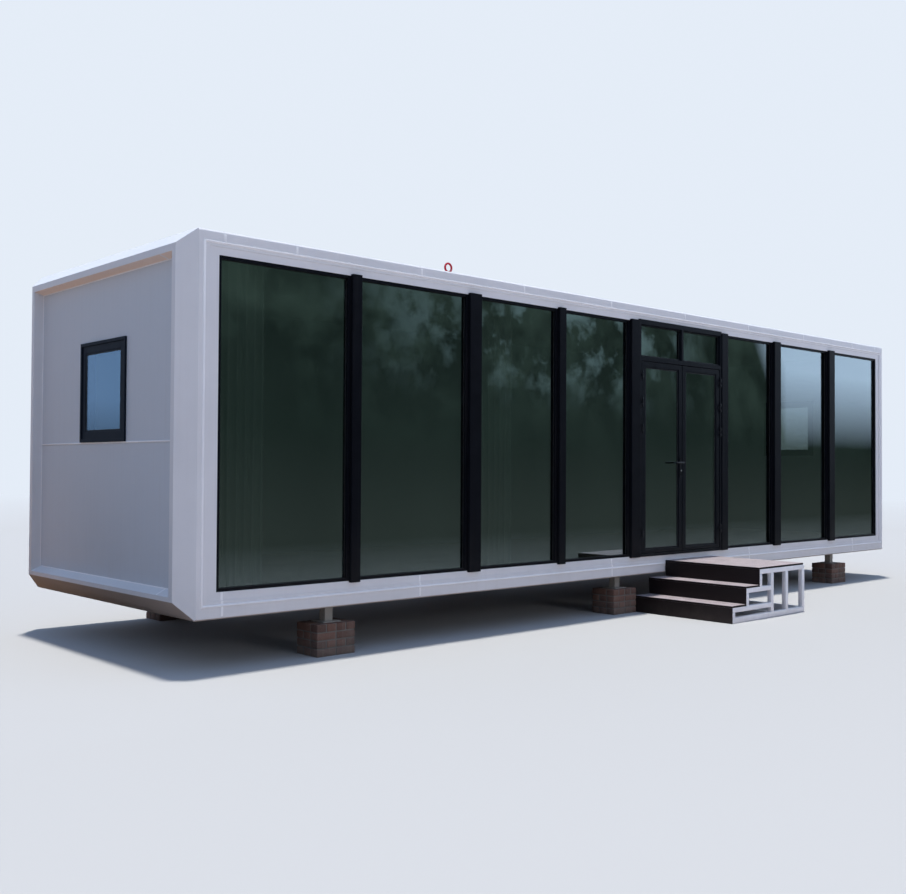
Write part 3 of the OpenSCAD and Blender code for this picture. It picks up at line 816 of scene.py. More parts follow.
EDGE_RADII = [
    (0.0030, ["left_end_cap", "right_end_cap", "front_head", "front_sill", "front_left_jamb",
              "front_right_jamb"]),
    (0.0015, ["left_mullions", "right_mullions", "door_frame", "left_leaf", "right_leaf",
              "left_window_frame", "right_window_frame", "left_end_wall", "right_end_wall"]),
    (0.0010, ["door_handle", "frame_hinges", "left_leaf_hinges", "right_leaf_hinges"]),
    (0.0040, ["legs", "base_frame"]),
]
for radius, rounded in EDGE_RADII:
    for name in rounded:
        round_edges(name, radius)

# %% [markdown]
# ## Sealant seams
#
# The white sheets of the picture frame and roof are short lengths butted together, and
# each joint is filled with a thin bead of sealant that stands a little proud. A bead is a
# strip with rounded edges, laid over the joint from edge to edge of the band. Those on the
# roof have weathered grey. The joints are given by their distance from the left end, and
# the edges of the bands by their distance from the top or the bottom of the box.

# %% Seams of the frame and the roof
SEAM_WIDTH = 0.021
SEAM_PROUD = 0.0020
EDGE_RADIUS = 0.022
BEAD_TOP = 0.091
BEAD_BOTTOM = 0.105
BEAD_RADIUS = 0.010
STEP_BOTTOM = 0.1407
STEP_DEPTH = 0.008
OPENING_BOTTOM = 0.207
HEAD_SEAMS = (0.224, 0.887, 2.228, 3.567, 4.922, 6.270, 7.615, 8.960, 10.305, 11.006)
SILL_SEAMS = (0.224, 2.230, 4.943, 7.640, 10.320)
SILL_PARTS = ((EDGE_RADIUS, BEAD_BOTTOM - BEAD_RADIUS, 0), (BEAD_BOTTOM + BEAD_RADIUS, STEP_BOTTOM, 0),
              (STEP_BOTTOM, OPENING_BOTTOM, STEP_DEPTH))


def seam(low, high):
    """One bead of sealant with its long edges rounded."""
    return soften(block("seam", low, high), SEAM_PROUD * 0.9)


beads, roof_beads = [], []
for place in HEAD_SEAMS:
    start, end = place - SEAM_WIDTH / 2, place + SEAM_WIDTH / 2
    beads.append(seam(at(start, -SEAM_PROUD, BOX_HEIGHT - BEAD_TOP + BEAD_RADIUS),
                      at(end, SEAM_PROUD, BOX_HEIGHT - EDGE_RADIUS)))
    roof_beads.append(seam(at(start, EDGE_RADIUS, BOX_HEIGHT - SEAM_PROUD),
                           at(end, BOX_DEPTH - EDGE_RADIUS, BOX_HEIGHT + SEAM_PROUD)))
for place in SILL_SEAMS:
    for low, high, depth in SILL_PARTS:
        beads.append(seam(at(place - SEAM_WIDTH / 2, depth - SEAM_PROUD, low),
                          at(place + SEAM_WIDTH / 2, depth + SEAM_PROUD, high)))
print("seams on the frame:", len(beads), "and on the roof:", len(roof_beads))

# %% [markdown]
# ## Seams of the end walls
#
# The end walls are sealed too: over the joint strip between their two panels, as a thin
# fillet all round where the panels meet the recess, and over the sheet joints on the
# recess's sloping floor and roof. Those last two are made flat, nearly as long as the
# slope, and then turned to it.

# %% Seams of the end walls
JOINT_LOW, JOINT_HIGH = 1.3565, 1.3695
STRIP_PROUD = 0.006
RECESS_SIDE, RECESS_FLOOR, RECESS_ROOF = 0.190, 0.220, 0.200
OVER_STRIP, OVER_PANEL, INTO_PANEL = 0.002, 0.005, 0.003
FILLET, FLOOR_FILLET, TUCKED_IN = 0.008, 0.007, 0.004
CAP_SEAM = 0.370
FLOOR_DROP, ROOF_DROP = 0.042, -0.028
HALF_SHARE = 0.46

joint = (at(0, 0, JOINT_LOW).z, at(0, 0, JOINT_HIGH).z)
low, high = at(0, 0, RECESS_FLOOR).z, at(0, 0, BOX_HEIGHT - RECESS_ROOF).z
near, far = at(0, RECESS_SIDE, 0).y, at(0, BOX_DEPTH - RECESS_SIDE, 0).y
for node, cap, face in (("left_end_wall", "left_end_cap", -1), ("right_end_wall", "right_end_cap", 1)):
    strip, outer = (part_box(name)[0 if face < 0 else 1].x for name in (node, cap))
    panel = strip - face * STRIP_PROUD
    over_strip, over_panel = strip + face * OVER_STRIP, panel + face * OVER_PANEL
    for front, y0, y1, z0, z1 in ((over_strip, near, far, *joint),
                                  (over_panel, near - TUCKED_IN, near + FILLET, low, high),
                                  (over_panel, far - FILLET, far + TUCKED_IN, low, high),
                                  (over_panel, near, far, low - TUCKED_IN, low + FLOOR_FILLET),
                                  (over_panel, near, far, high - FILLET, high + TUCKED_IN)):
        x0, x1 = sorted((front, panel - face * INTO_PANEL))
        beads.append(seam((x0, y0, z0), (x1, y1, z1)))
    for inner_z, drop in ((low, FLOOR_DROP), (high, ROOF_DROP)):
        slope = Vector((outer - panel, 0, -drop))
        half_length = HALF_SHARE * slope.length
        bead = seam((-half_length, -SEAM_WIDTH / 2, -SEAM_PROUD),
                    (half_length, SEAM_WIDTH / 2, SEAM_PROUD))
        bead.rotation_euler = (0, -math.atan2(slope.z, slope.x), 0)
        bead.location = Vector((outer + panel, 2 * at(0, CAP_SEAM, 0).y, 2 * inner_z - drop)) / 2
        beads.append(settle(bead))
finish_piece(join("sealant_seams", beads), sealant, "cabin")
finish_piece(join("roof_seams", roof_beads), roof_sealant, "cabin")
print("beads of sealant on frame and end walls:", len(beads))

# %% [markdown]
# ## Separate solids in a node
#
# One node of the model can hold several solids that stand apart, such as the bars between
# the bays. What we add beside them is placed by each one's own box. To find those, the
# points that edges connect are gathered, one island of the mesh after another.


# %% Islands of a mesh
def solids_of(*names):
    """The lowest and highest corners of each separate solid in these nodes, left to right."""
    found = []
    for name in names:
        mesh = bmesh.new()
        mesh.from_mesh(nodes[name].data)
        bmesh.ops.remove_doubles(mesh, verts=mesh.verts, dist=1e-5)
        waiting = set(mesh.verts)
        while waiting:
            reached = [waiting.pop()]
            for corner in reached:
                for edge in corner.link_edges:
                    other = edge.other_vert(corner)
                    if other in waiting:
                        waiting.remove(other)
                        reached.append(other)
            places = [corner.co for corner in reached]
            found.append((Vector([min(p[i] for p in places) for i in range(3)]),
                          Vector([max(p[i] for p in places) for i in range(3)])))
        mesh.free()
    return sorted(found, key=lambda pair: pair[0].x)


# %% [markdown]
# ## Glazing gaskets
#
# Between glass and metal runs a black rubber gasket, a thin frame that stands a few
# millimetres off the pane. Each one is a plane the size of the pane's opening: the middle
# is inset and removed, the ring that is left is pulled out to its thickness, and its
# edges are rounded. The bays are read from the mullions in the frame.

# %% Glazing gaskets
GASKET_WIDTH = 0.005
GASKET_PROUD = 0.004
GASKET_EDGE = 0.001
CHANNEL_HEIGHT = 0.025
NARROWEST_BAY = 0.5


def edit_whole(piece):
    """Enters edit mode with all faces of one piece selected."""
    select_only(piece)
    bpy.context.tool_settings.mesh_select_mode = (False, False, True)
    bpy.ops.object.mode_set(mode="EDIT")
    bpy.ops.mesh.select_all(action="SELECT")


def close_shell():
    """Turns all faces of the piece in edit mode outwards and goes back to object mode."""
    bpy.ops.mesh.select_all(action="SELECT")
    bpy.ops.mesh.normals_make_consistent(inside=False)
    bpy.ops.object.mode_set(mode="OBJECT")


def gasket(low, high, outward):
    """A rubber ring on a pane's face, given by the flat opening and the way it faces."""
    low, high, outward = Vector(low), Vector(high), Vector(outward)
    span = high - low
    deselect()
    bpy.ops.mesh.primitive_plane_add(size=1, location=(low + high) / 2,
                                     rotation=(math.pi / 2, 0, math.pi / 2 * abs(outward.x)))
    ring = named("ring")
    ring.scale = (span.y if outward.x else span.x, span.z, 1)
    edit_whole(settle(ring))
    bpy.ops.mesh.inset(thickness=GASKET_WIDTH)
    bpy.ops.mesh.delete(type="FACE")
    bpy.ops.mesh.select_all(action="SELECT")
    bpy.ops.mesh.extrude_region_move(TRANSFORM_OT_translate={"value": outward * GASKET_PROUD})
    close_shell()
    return soften(ring, GASKET_EDGE)


bars = solids_of("left_mullions", "right_mullions", "door_frame")
bays = [(a[1].x, b[0].x) for a, b in zip(bars, bars[1:]) if b[0].x - a[1].x > NARROWEST_BAY]
glass_low, glass_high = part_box("left_glass")
channel_low, channel_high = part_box("glazing_channels")
rings = []
for x0, x1 in bays:
    for face_y, outward in ((glass_low.y, -1), (glass_high.y, 1)):
        rings.append(gasket((x0, face_y, channel_low.z + CHANNEL_HEIGHT),
                            (x1, face_y, channel_high.z - CHANNEL_HEIGHT), (0, outward, 0)))
finish_piece(join("front_gaskets", rings), rubber, "cabin")
print("glazed bays:", len(bays), "widths:", [round(b - a, 3) for a, b in bays])

# %% [markdown]
# ## Gaskets of the door and the windows
#
# The leaves, the lights over them and the end windows have the same rubber. A leaf's
# gasket has to swing with its leaf, so each is a piece of its own that rides on its door.

# %% Door and window gaskets
EDGE_BITE = 0.008


def pane_gaskets(name, panes, body):
    """Rubber on both faces of each pane, set in by the metal's bite on the glass."""
    made = []
    for low, high in panes:
        across = Vector((1, 0, 0)) if high.x - low.x < high.y - low.y else Vector((0, 1, 0))
        bite = (Vector((1, 1, 1)) - across) * EDGE_BITE
        thick = across * across.dot(high - low)
        made.append(gasket(low + bite, high - bite - thick, -across))
        made.append(gasket(low + bite + thick, high - bite, across))
    return finish_piece(join(name, made), rubber, body)


pane_gaskets("transom_gaskets", solids_of("transom_glass"), "cabin")
pane_gaskets("window_gaskets", [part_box("left_window_glass"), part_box("right_window_glass")], "cabin")
pane_gaskets("left_leaf_gaskets", [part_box("left_leaf_glass")], "left_door")
pane_gaskets("right_leaf_gaskets", [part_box("right_leaf_glass")], "right_door")

# %% [markdown]
# ## The lock's face
#
# Under the lever the key goes into a bright steel plug in the black lock. The plug is a
# short cylinder with a softened rim, and a thin block is taken out of it for the key slot.
# The lock is on both faces of the leaf, and its place is measured from the handle's box.

# %% Lock faces
PLUG_RADIUS = 0.0085
PLUG_PROUD = 0.0015
PLUG_RIM = 0.0004
KEY_SLOT = (0.0022, 0.0105)
HANDLE_PLATE = 0.032
LEVER_REACH = 0.065
LOCK_REACH = 0.018
LOCK_BELOW_TOP = 0.150
handle_low, handle_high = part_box("door_handle")
plugs = []
for grip_y, outward in ((handle_low.y, -1), (handle_high.y, 1)):
    face_y = grip_y - outward * (LEVER_REACH - LOCK_REACH)
    middle = Vector((handle_high.x - HANDLE_PLATE / 2, face_y, handle_high.z - LOCK_BELOW_TOP))
    deselect()
    bpy.ops.mesh.primitive_cylinder_add(vertices=40, radius=PLUG_RADIUS, depth=2 * PLUG_PROUD,
                                        location=middle, rotation=(math.pi / 2, 0, 0))
    plug = soften(settle(named("plug")), PLUG_RIM)
    reach = Vector((KEY_SLOT[0] / 2, 2 * PLUG_PROUD, KEY_SLOT[1] / 2))
    outside = Vector((0, outward * 1.5 * PLUG_PROUD, 0))
    slot = block("key_slot", middle - reach + outside, middle + reach + outside)
    modify(plug, "BOOLEAN", operation="DIFFERENCE", object=slot, solver="EXACT")
    bpy.data.objects.remove(slot)
    plugs.append(plug)
finish_piece(join("lock_faces", plugs), zinc, "left_door")
print("lock face height over the ground:", round(middle.z, 3))

# %% [markdown]
# ## Brick piers
#
# The piers are laid dry on the ground in four courses: three rows of two stretchers, then
# four headers across, in turn, so that the joints break. One brick is a block with worn
# edges, a small turn and a tone of its own, and the bond gives each one its footprint.

# %% One brick
random.seed(41)
WORN_EDGE = 0.004
MOST_TURN = 0.35


def brick(low, high):
    """One brick with worn edges, a slight turn and a tone of its own."""
    piece = soften(block("brick", low, high), WORN_EDGE)
    middle = (Vector(low) + Vector(high)) / 2
    swing = Matrix.Rotation(math.radians(random.uniform(-MOST_TURN, MOST_TURN)), 4, "Z")
    piece.data.transform(Matrix.Translation(middle) @ swing @ Matrix.Translation(-middle))
    tone = piece.data.attributes.new("tone", "FLOAT", "FACE")
    shade = random.random()
    tone.data.foreach_set("value", [shade] * len(piece.data.polygons))
    return piece


# %% [markdown]
# ## Laying the bricks
#
# In a course of headers each row is a whole brick and a cut one, and every other row
# starts with the whole one, so the joints break along the pier too. Each brick is set in
# a millimetre or two by chance. A mortar core, set back from the faces, fills the joints.

# %% Brick piers
JOINT = 0.010
COURSES = 4
SET_IN = (0.0008, 0.0030)
CORE_INSET = Vector((0.007, 0.007, 0.001))


def course_of_bricks(low, high, crosswise):
    """The footprints of the bricks in one course of a pier."""
    long_side = (high.x - low.x - JOINT) / 2
    if not crosswise:
        row = (high.y - low.y - 2 * JOINT) / 3
        return [(low.x + i * (long_side + JOINT), low.y + j * (row + JOINT), long_side, row)
                for i in range(2) for j in range(3)]
    row = (high.x - low.x - 3 * JOINT) / 4
    cut_side = high.y - low.y - JOINT - long_side
    spots = []
    for i in range(4):
        first, second = (long_side, cut_side) if i % 2 else (cut_side, long_side)
        x = low.x + i * (row + JOINT)
        spots += [(x, low.y, row, first), (x, low.y + first + JOINT, row, second)]
    return spots


bricks, cores = [], []
for low, high in solids_of("brick_piers"):
    course = (high.z - low.z) / COURSES
    for layer in range(COURSES):
        bottom = low.z + layer * course + JOINT * (layer > 0) * 0.5
        top = low.z + (layer + 1) * course - JOINT * (layer < COURSES - 1) * 0.5
        for x, y, wide, deep in course_of_bricks(low, high, layer % 2):
            inset = random.uniform(*SET_IN)
            bricks.append(brick((x + inset, y + inset, bottom), (x + wide - inset, y + deep - inset, top)))
    cores.append(block("core", low + CORE_INSET, high - CORE_INSET))
count = len(bricks)
piers = finish_piece(join("pier_bricks", bricks), clay, "cabin")
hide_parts("brick_piers")
finish_piece(join("pier_mortar", cores), mortar, "cabin")
print("bricks laid:", count)

# %% [markdown]
# ## A reeded board
#
# A composite board has a reeded face: shallow grooves along its whole length. It starts
# as a flat grid with four strips to a reed. Two of every four lines are lowered, which
# gives flat reeds and grooves with slopes between them. The sheet is extruded down to its
# thickness, its underside is flattened, and the outer edges are rounded.

# %% Reeded board
REED_PITCH = 0.012
REED_DEPTH = 0.0007
BOARD_EDGE = 0.0014
OUTER_EDGES = math.radians(60)


def reeded_board(width, length, thickness):
    """A board lying along Y with its reeded face up, its near left top corner at the origin."""
    strips = 4 * max(3, round(width / REED_PITCH)) + 1
    step = width / strips
    deselect()
    bpy.ops.mesh.primitive_grid_add(x_subdivisions=strips, y_subdivisions=1, size=1,
                                    location=(width / 2, length / 2, 0))
    piece = named("board")
    piece.scale = (width, length, 1)
    settle(piece)
    for point in piece.data.vertices:
        if round(point.co.x / step) % 4 > 1:
            point.co.z = -REED_DEPTH
    edit_whole(piece)
    bpy.ops.mesh.extrude_region_move(TRANSFORM_OT_translate={"value": (0, 0, -thickness)})
    bpy.ops.transform.resize(value=(1, 1, 0), center_override=(0, 0, -thickness))
    close_shell()
    return modify(piece, "BEVEL", width=BOARD_EDGE, segments=2, limit_method="ANGLE",
                  angle_limit=OUTER_EDGES)


# %% [markdown]
# ## Treads, deck and risers
#
# One board is modelled for each area and copied side by side, each copy with a mesh of its
# own. A tread's boards lie with the reeds up. A riser's are turned to face forward.

# %% Boards of the stair
BOARD_WIDTH = 0.148
BOARD_GAP = 0.004


def copy_of(piece, name):
    """A copy with a mesh of its own."""
    twin = piece.copy()
    twin.data = piece.data.copy()
    twin.name = name
    bpy.context.scene.collection.objects.link(twin)
    return twin


def lay_boards(name, low, high, upright=False):
    """Boards side by side over a flat area, reeded face up, or upright and facing -X."""
    span = (high.z - low.z) if upright else (high.x - low.x)
    thickness = (high.x - low.x) if upright else (high.z - low.z)
    count = max(1, round(span / BOARD_WIDTH))
    width = (span - (count - 1) * BOARD_GAP) / count
    model = reeded_board(width, high.y - low.y, thickness)
    laid = []
    for i in range(count):
        piece = copy_of(model, "board")
        start = i * (width + BOARD_GAP)
        if upright:
            place = Matrix.Translation((low.x, low.y, low.z + start)) @ Matrix.Rotation(-math.pi / 2, 4, "Y")
        else:
            place = Matrix.Translation((low.x + start, low.y, high.z))
        piece.data.transform(place)
        laid.append(piece)
    bpy.data.objects.remove(model)
    return join(name, laid)


for name in ("lower_tread", "upper_tread", "platform_deck"):
    boards = finish_piece(lay_boards(name + "_boards", *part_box(name)), board, "cabin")
    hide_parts(name)
    print(boards.name, len(boards.data.polygons), "faces")
riser_boards = [lay_boards("riser", low, high, upright=True) for low, high in solids_of("risers")]
risers = finish_piece(join("riser_boards", riser_boards), board, "cabin")
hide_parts("risers")
print(risers.name, len(risers.data.polygons), "faces")

# %% [markdown]
# ## Welded stair frame
#
# The sides are square tube, 50 mm, welded up and painted. Tube has round corners, so each
# length is a block with a real corner radius, butted where the welder butted it. The
# lengths are worked out from the boards that they carry.

# %% Stair tubes
TUBE = 0.050
CORNER_RADIUS = 0.006
GROUND_RAIL = 0.060
POST_PLACES = (0.228, 0.523)
low_tread, upper_tread, deck = (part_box(n) for n in ("lower_tread", "upper_tread", "platform_deck"))
side_low, side_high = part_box("stair_front_side")
step_2 = low_tread[1].x
step_3 = upper_tread[1].x


def tube(low, high):
    """One length of square tube with rounded corners."""
    return soften(block("tube", low, high), CORNER_RADIUS, 3)


def stair_side(name, node, y):
    """One welded side frame, standing from y to y plus a tube."""
    ground, right_end, left_end = side_low.z, side_high.x, side_low.x
    top_1, top_2, top_3 = low_tread[0].z, upper_tread[0].z, deck[0].z
    post = step_3 + POST_PLACES[0]
    lengths = [
        (left_end, right_end, ground, ground + GROUND_RAIL),
        (step_3, right_end, top_3 - TUBE, top_3),
        (step_2, post, top_2 - TUBE, top_2),
        (left_end, post, top_1 - TUBE, top_1),
        (left_end, left_end + TUBE, ground + GROUND_RAIL, top_1 - TUBE),
        (step_2, step_2 + TUBE, top_1, top_2 - TUBE),
        (step_3, step_3 + TUBE, top_2, top_3 - TUBE),
        (right_end - TUBE, right_end, ground + GROUND_RAIL, top_3 - TUBE),
    ]
    for place in POST_PLACES:
        lengths.append((step_3 + place, step_3 + place + TUBE, ground + GROUND_RAIL, top_3 - TUBE))
    made = [tube((x0, y, z0), (x1, y + TUBE, z1)) for x0, x1, z0, z1 in lengths]
    side = finish_piece(join(name, made), stair_paint, "cabin")
    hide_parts(node)


stair_side("near_stair_frame", "stair_front_side", side_low.y)
stair_side("far_stair_frame", "stair_back_side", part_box("stair_back_side")[0].y)
cross = [tube(low, high) for low, high in solids_of("stair_cross_tubes")]
cross_tubes = finish_piece(join("cross_tubes", cross), stair_paint, "cabin")
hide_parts("stair_cross_tubes")
print("cross tubes:", len(cross))

# %% [markdown]
# ## Curtains
#
# A gathered voile hangs from a track in deep folds that are tight under the heading and
# open out towards the hem. A simulation would spend minutes on what the eye can hardly
# see through tinted glass, so the folds are a formula: a fine grid is stood upright, and
# each point is pushed in and out by a wave whose depth and rhythm change down the drop.
# Lower down the folds also sway and wander sideways, but not at the cloth's two ends.

# %% Curtains
CLOTH = 0.0006
FOLD_PITCH = 0.080
FOLD_DEPTH = 0.030
POINTS_PER_FOLD = 16
ROWS = 48
TIGHT, LOOSENS = 0.62, 0.38
CLEAR_OF_BOX = 0.97
SWAY, WANDER = 0.9, 0.012


def fold_depth(turns, fallen):
    """How far the cloth stands in or out, at an angle of its wave and a share of the drop."""
    fullness = TIGHT + LOOSENS * min(1.0, fallen * 5)
    return FOLD_DEPTH * fullness * math.sin(turns)


def hang_curtain(name, node):
    """A gathered curtain in the space of its CAD solid."""
    low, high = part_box(node)
    width, drop = high.x - low.x, high.z - low.z
    folds = round(width / FOLD_PITCH)
    deselect()
    bpy.ops.mesh.primitive_grid_add(x_subdivisions=folds * POINTS_PER_FOLD, y_subdivisions=ROWS, size=1,
                                    rotation=(math.radians(90), 0, 0), location=(low + high) / 2)
    cloth = named(name)
    cloth.scale = (width, drop, 1)
    settle(cloth)
    middle = (low.y + high.y) / 2
    for point in cloth.data.vertices:
        fallen = (high.z - point.co.z) / drop
        along = (point.co.x - low.x) / width
        sway = SWAY * fallen * math.sin(7.1 * along + 2.3 * fallen)
        edge = min(1.0, 12 * along, 12 * (1 - along))
        turns = math.tau * folds * along + sway * edge
        point.co.y = middle + fold_depth(turns, fallen) * CLEAR_OF_BOX
        point.co.x += WANDER * edge * fallen * math.sin(2 * turns + 1.3)
    modify(cloth, "SOLIDIFY", thickness=CLOTH, offset=0)
    finish_piece(cloth, voile, "cabin", smooth=80)
    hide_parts(node)


hang_curtain("left_voile", "left_curtain")
hang_curtain("middle_voile", "middle_curtain")

# %% [markdown]
# ## The studio's backdrop
#
# The camera sees a plain pale floor that runs out into a pale backdrop. The light that
# reaches the cabin is another matter and follows the day it was seen on: near the horizon
# trees and earth give little, the open sky above them gives most, and the zenith is blue.
# The glass mirrors the bright sky before the front. The sky at the rear is plainer, with
# low trees before it on the left. So the world asks which kind of ray it is that arrives.
# The ranges below are parts of a direction of length 1, so a height of 0.2 is about 12
# degrees over the horizon.

# %% Backdrop
BACKDROP = (0.78, 0.845, 0.935)
MIRROR_SKY = (1.37, 1.64, 2.06)
REAR_SKY = (0.60, 0.76, 1.02)
WOODS = (0.04, 0.045, 0.05)
SKY_LOW = (0.03, 0.03, 0.035)
SKY_OPEN = (0.33, 0.405, 0.56)
SKY_HIGH = (0.22, 0.36, 0.66)
SKY_OPENS, SKY_DEEPENS = (0.05, 0.22), (0.45, 0.95)
TREE_TOPS = (0.06, 0.0)
TO_THE_FRONT, TO_THE_LEFT = (0.1, -0.2), (0.1, -0.2)


def ray_is(tree, *kinds):
    """A mask that is 1 for the named kinds of ray."""
    path = add(tree, "ShaderNodeLightPath")
    mask = path.outputs[kinds[0]]
    for kind in kinds[1:]:
        mask = math_node(tree, "MAXIMUM", mask, path.outputs[kind])
    return mask


world = bpy.data.worlds.new("studio")
bpy.context.scene.world = world
world.use_nodes = True
tree = world.node_tree
tree.nodes.clear()
direction = add(tree, "ShaderNodeTexCoord").outputs["Generated"]
way = add(tree, "ShaderNodeSeparateXYZ", {"Vector": direction}).outputs
fill = blend_colours(tree, remap(tree, way["Z"], *SKY_OPENS), SKY_LOW, SKY_OPEN)
fill = blend_colours(tree, remap(tree, way["Z"], *SKY_DEEPENS), fill, SKY_HIGH)
mirrored = blend_colours(tree, remap(tree, way["Y"], *TO_THE_FRONT), REAR_SKY, MIRROR_SKY)
low_trees = times(tree, remap(tree, way["Z"], *TREE_TOPS), remap(tree, way["X"], *TO_THE_LEFT))
mirrored = blend_colours(tree, low_trees, mirrored, WOODS)
sky = blend_colours(tree, ray_is(tree, "Is Glossy Ray"), fill, mirrored)
sky = blend_colours(tree, ray_is(tree, "Is Camera Ray", "Is Transmission Ray"), sky, BACKDROP)
background = add(tree, "ShaderNodeBackground", {"Color": sky, "Strength": 1.0})
add(tree, "ShaderNodeOutputWorld", {"Surface": background.outputs["Background"]})

# %% [markdown]
# ## The studio's floor
#
# Sunlit gravel before the cabin throws much light up at the front, the shaded earth beside
# its end next to none, and sunlit earth further back a little warm light. Only light that
# is thrown up takes those colours. The camera sees one plain floor, which fades into the
# backdrop far out.

# %% Floor
FLOOR_SEEN = (0.50, 0.50, 0.49)
GRAVEL = (0.425, 0.385, 0.39)
SHADED_EARTH = (0.035, 0.032, 0.030)
SUNLIT_EARTH = (0.28, 0.155, 0.078)
FLOOR_SIZE = 160
FADES_OUT = (18.0, 48.0)
BEFORE_CABIN, BEHIND_FRONT = (-0.8, -1.6), (0.2, 1.8)

deselect()
bpy.ops.mesh.primitive_grid_add(x_subdivisions=8, y_subdivisions=8, size=FLOOR_SIZE)
floor = named("studio_floor")
material, tree, shader = start_material("studio_floor")
place = add(tree, "ShaderNodeTexCoord").outputs["Object"]
distance = add(tree, "ShaderNodeVectorMath", {0: place}, operation="LENGTH").outputs["Value"]
depth = object_axes(tree)["Y"]
in_front = remap(tree, depth, *BEFORE_CABIN)
earth = blend_colours(tree, remap(tree, depth, *BEHIND_FRONT), SHADED_EARTH, SUNLIT_EARTH)
bounce = blend_colours(tree, in_front, earth, GRAVEL)
mirrored = blend_colours(tree, in_front, SHADED_EARTH, FLOOR_SEEN)
thrown = blend_colours(tree, ray_is(tree, "Is Glossy Ray"), bounce, mirrored)
ground = blend_colours(tree, ray_is(tree, "Is Camera Ray", "Is Transmission Ray"), thrown, FLOOR_SEEN)
wire(tree, shader, Base_Color=ground, Roughness=0.85, Specular_IOR_Level=0.1)
glow = add(tree, "ShaderNodeEmission", {"Color": BACKDROP, "Strength": 1.0})
mix_to_output(tree, remap(tree, distance, *FADES_OUT), shader.outputs["BSDF"], glow.outputs["Emission"])
floor.data.materials.append(material)

# %% [markdown]
# ## A dark flag for the glass
#
# Glass in a white studio looks like milk. A photographer stands a large dark cloth, a
# flag, behind the camera, and the glass turns deep and clear. Ours is seen by reflections
# alone. It is tall on the left and low on the far right, with soft edges, so that the last
# two bays mirror the bright sky over it, as they did on the day. Its foot is drawn forward
# over the floor and thins out, so the glass shows no hard line where cloth and floor meet.
# Near its top the cloth glows lighter in patches, a painted sky light that the glass mirrors.

# %% Flag
FLAG_Y = -12.0
FLAG_FOOT = 9.8
FLAG_MIDDLE, FLAG_WIDTH, FLAG_HEIGHT = (10, FLAG_Y, 5.0), 130, 9.98

deselect()
bpy.ops.mesh.primitive_grid_add(x_subdivisions=4, y_subdivisions=2, size=1,
                                rotation=(math.radians(90), 0, 0), location=FLAG_MIDDLE)
flag = named("studio_flag")
flag.scale = (FLAG_WIDTH, FLAG_HEIGHT, 1)
settle(flag)
bpy.context.tool_settings.mesh_select_mode = (False, True, False)
for corner in flag.data.vertices:
    corner.select = corner.co.z < 0.1
for edge in flag.data.edges:
    edge.select = all(flag.data.vertices[i].select for i in edge.vertices)
bpy.ops.object.mode_set(mode="EDIT")
bpy.ops.mesh.extrude_region_move(TRANSFORM_OT_translate={"value": (0, FLAG_FOOT, 0)})
bpy.ops.object.mode_set(mode="OBJECT")
print("flag corners:", len(flag.data.vertices))

# %% [markdown]
# ## The flag's cloth
#
# The cloth gives off its own dim light, so the lamps leave it alone, and a clear shader
# takes over wherever it ends. Soft folds lighten it towards the top.

# %% Cloth of the flag
CLOTH_FOOT = (0.074, 0.087, 0.076)
CLOTH_DARK = (0.030, 0.046, 0.038)
CLOTH_LIGHT = (0.090, 0.130, 0.105)
PAINTED_SKY_PATCHES = (0.30, 0.41, 0.42)
TALL, LOW, SOFT = 7.4, 3.6, 1.3
STEP_X, STEP_SOFT = 21.3, 1.2
FOLDS_SHOW, FOOT_SHOWS = (1.8, 4.4), (2.4, 0.2)
SKY_PATCH_PLACES = (("Z", 3.0, 4.8), ("X", 3.0, 10.0), ("X", 18.0, 14.0))

material, tree, shader = start_material("studio_flag")
place = object_axes(tree)
top = remap(tree, place["X"], STEP_X - STEP_SOFT, STEP_X + STEP_SOFT, TALL, LOW)
below = math_node(tree, "SUBTRACT", top, place["Z"])
standing = remap(tree, below, -SOFT, SOFT)
lying = remap(tree, place["Y"], FLAG_Y + 0.5, FLAG_Y + FLAG_FOOT, 1.0, 0.0)
cover = times(tree, standing, math_node(tree, "POWER", lying, 0.25))
folds = remap(tree, noise(tree, object_place(tree), 0.55, detail=4, rough=0.6), 0.42, 0.66)
lit = times(tree, folds, remap(tree, place["Z"], *FOLDS_SHOW))
tone = blend_colours(tree, lit, CLOTH_DARK, CLOTH_LIGHT)
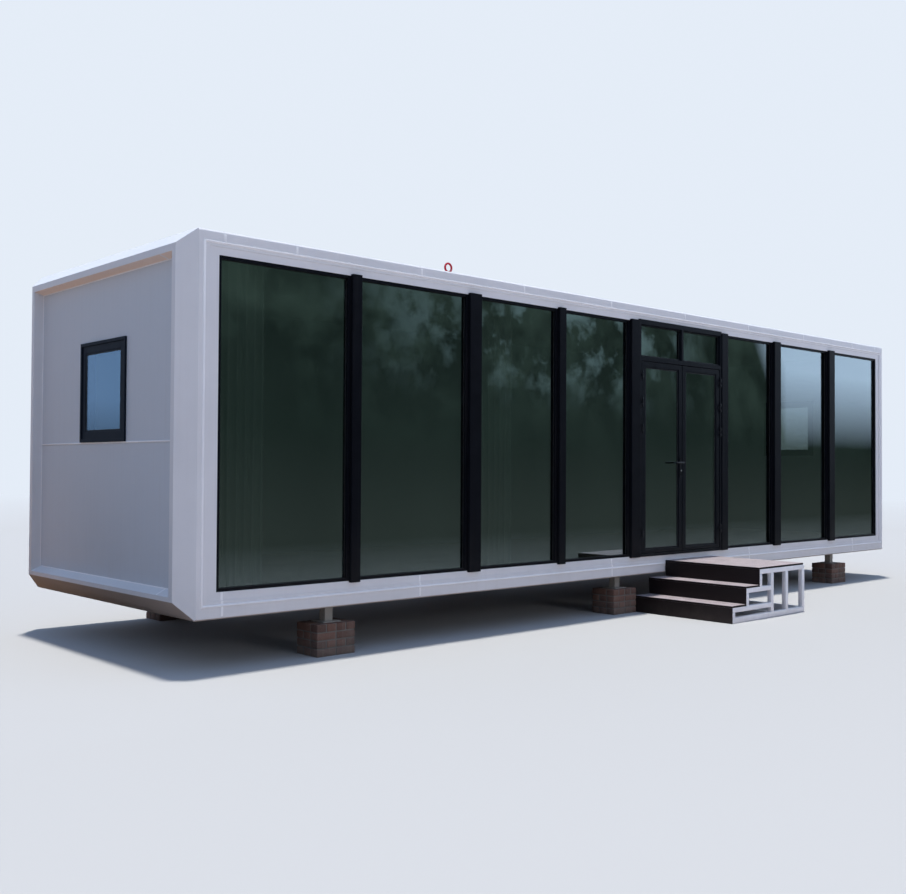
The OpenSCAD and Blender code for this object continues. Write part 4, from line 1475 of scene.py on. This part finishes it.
# Lighter patches of glow near the top: painted sky light for the glass to mirror
thin = remap(tree, noise(tree, object_place(tree), 0.95, detail=5, rough=0.62), 0.50, 0.64)
for axis, start, end in SKY_PATCH_PLACES:
    thin = times(tree, thin, remap(tree, place[axis], start, end))
tone = blend_colours(tree, thin, tone, PAINTED_SKY_PATCHES)
tone = blend_colours(tree, remap(tree, place["Z"], *FOOT_SHOWS), tone, CLOTH_FOOT)
cloth = add(tree, "ShaderNodeEmission", {"Color": tone, "Strength": 1.0})
clear = add(tree, "ShaderNodeBsdfTransparent")
mix_to_output(tree, cover, clear.outputs["BSDF"], cloth.outputs["Emission"])
flag.data.materials.append(material)
flag.visible_camera = False
flag.visible_diffuse = False
flag.visible_shadow = False

# %% [markdown]
# ## Lamps
#
# One high sun stands over the roof and a little behind the glass, as on the day. It leaves
# the front in open shade and lights the outer part of the stair. A large soft panel far out
# before the front lifts the front and the tapered corner. It stands far enough to the right
# that the end wall and the recess round it stay in the shade.

# %% Lamps
SUN_SHARE = 1.15
SUN_PLACE = (0.5, 0.60, 12)
PANEL_SHARE = 0.08
PANEL_PLACE = Vector((-2.5, -22.5, 6.0))
PANEL_SIZE = 6.0
PANEL_AIM = Vector((-1.5, -0.9, 1.6))


def lamp(kind, name, place, target, **settings):
    """A lamp at a place, aimed at a target, that doesn't show in the glass."""
    bpy.ops.object.light_add(type=kind, location=place)
    made = bpy.context.object
    made.name = name
    made.rotation_mode = "QUATERNION"
    made.rotation_quaternion = (Vector(target) - Vector(place)).to_track_quat("-Z", "Y")
    for key, value in settings.items():
        setattr(made.data, key, value)
    made.visible_glossy = False
    made.visible_transmission = False


lamp("SUN", "high_sun", SUN_PLACE, (0, 0, 0), energy=SUN_SHARE * math.pi, angle=math.radians(2),
     color=(1.0, 0.965, 0.92))
panel_power = PANEL_SHARE * math.pi * (PANEL_PLACE - PANEL_AIM).length_squared * 4
lamp("AREA", "soft_panel", PANEL_PLACE, PANEL_AIM, energy=panel_power, size=PANEL_SIZE,
     color=(1.0, 0.98, 1.0))
print("soft panel, in watts:", round(panel_power))

# %% Finish
bpy.context.scene.view_settings.view_transform = "Standard"
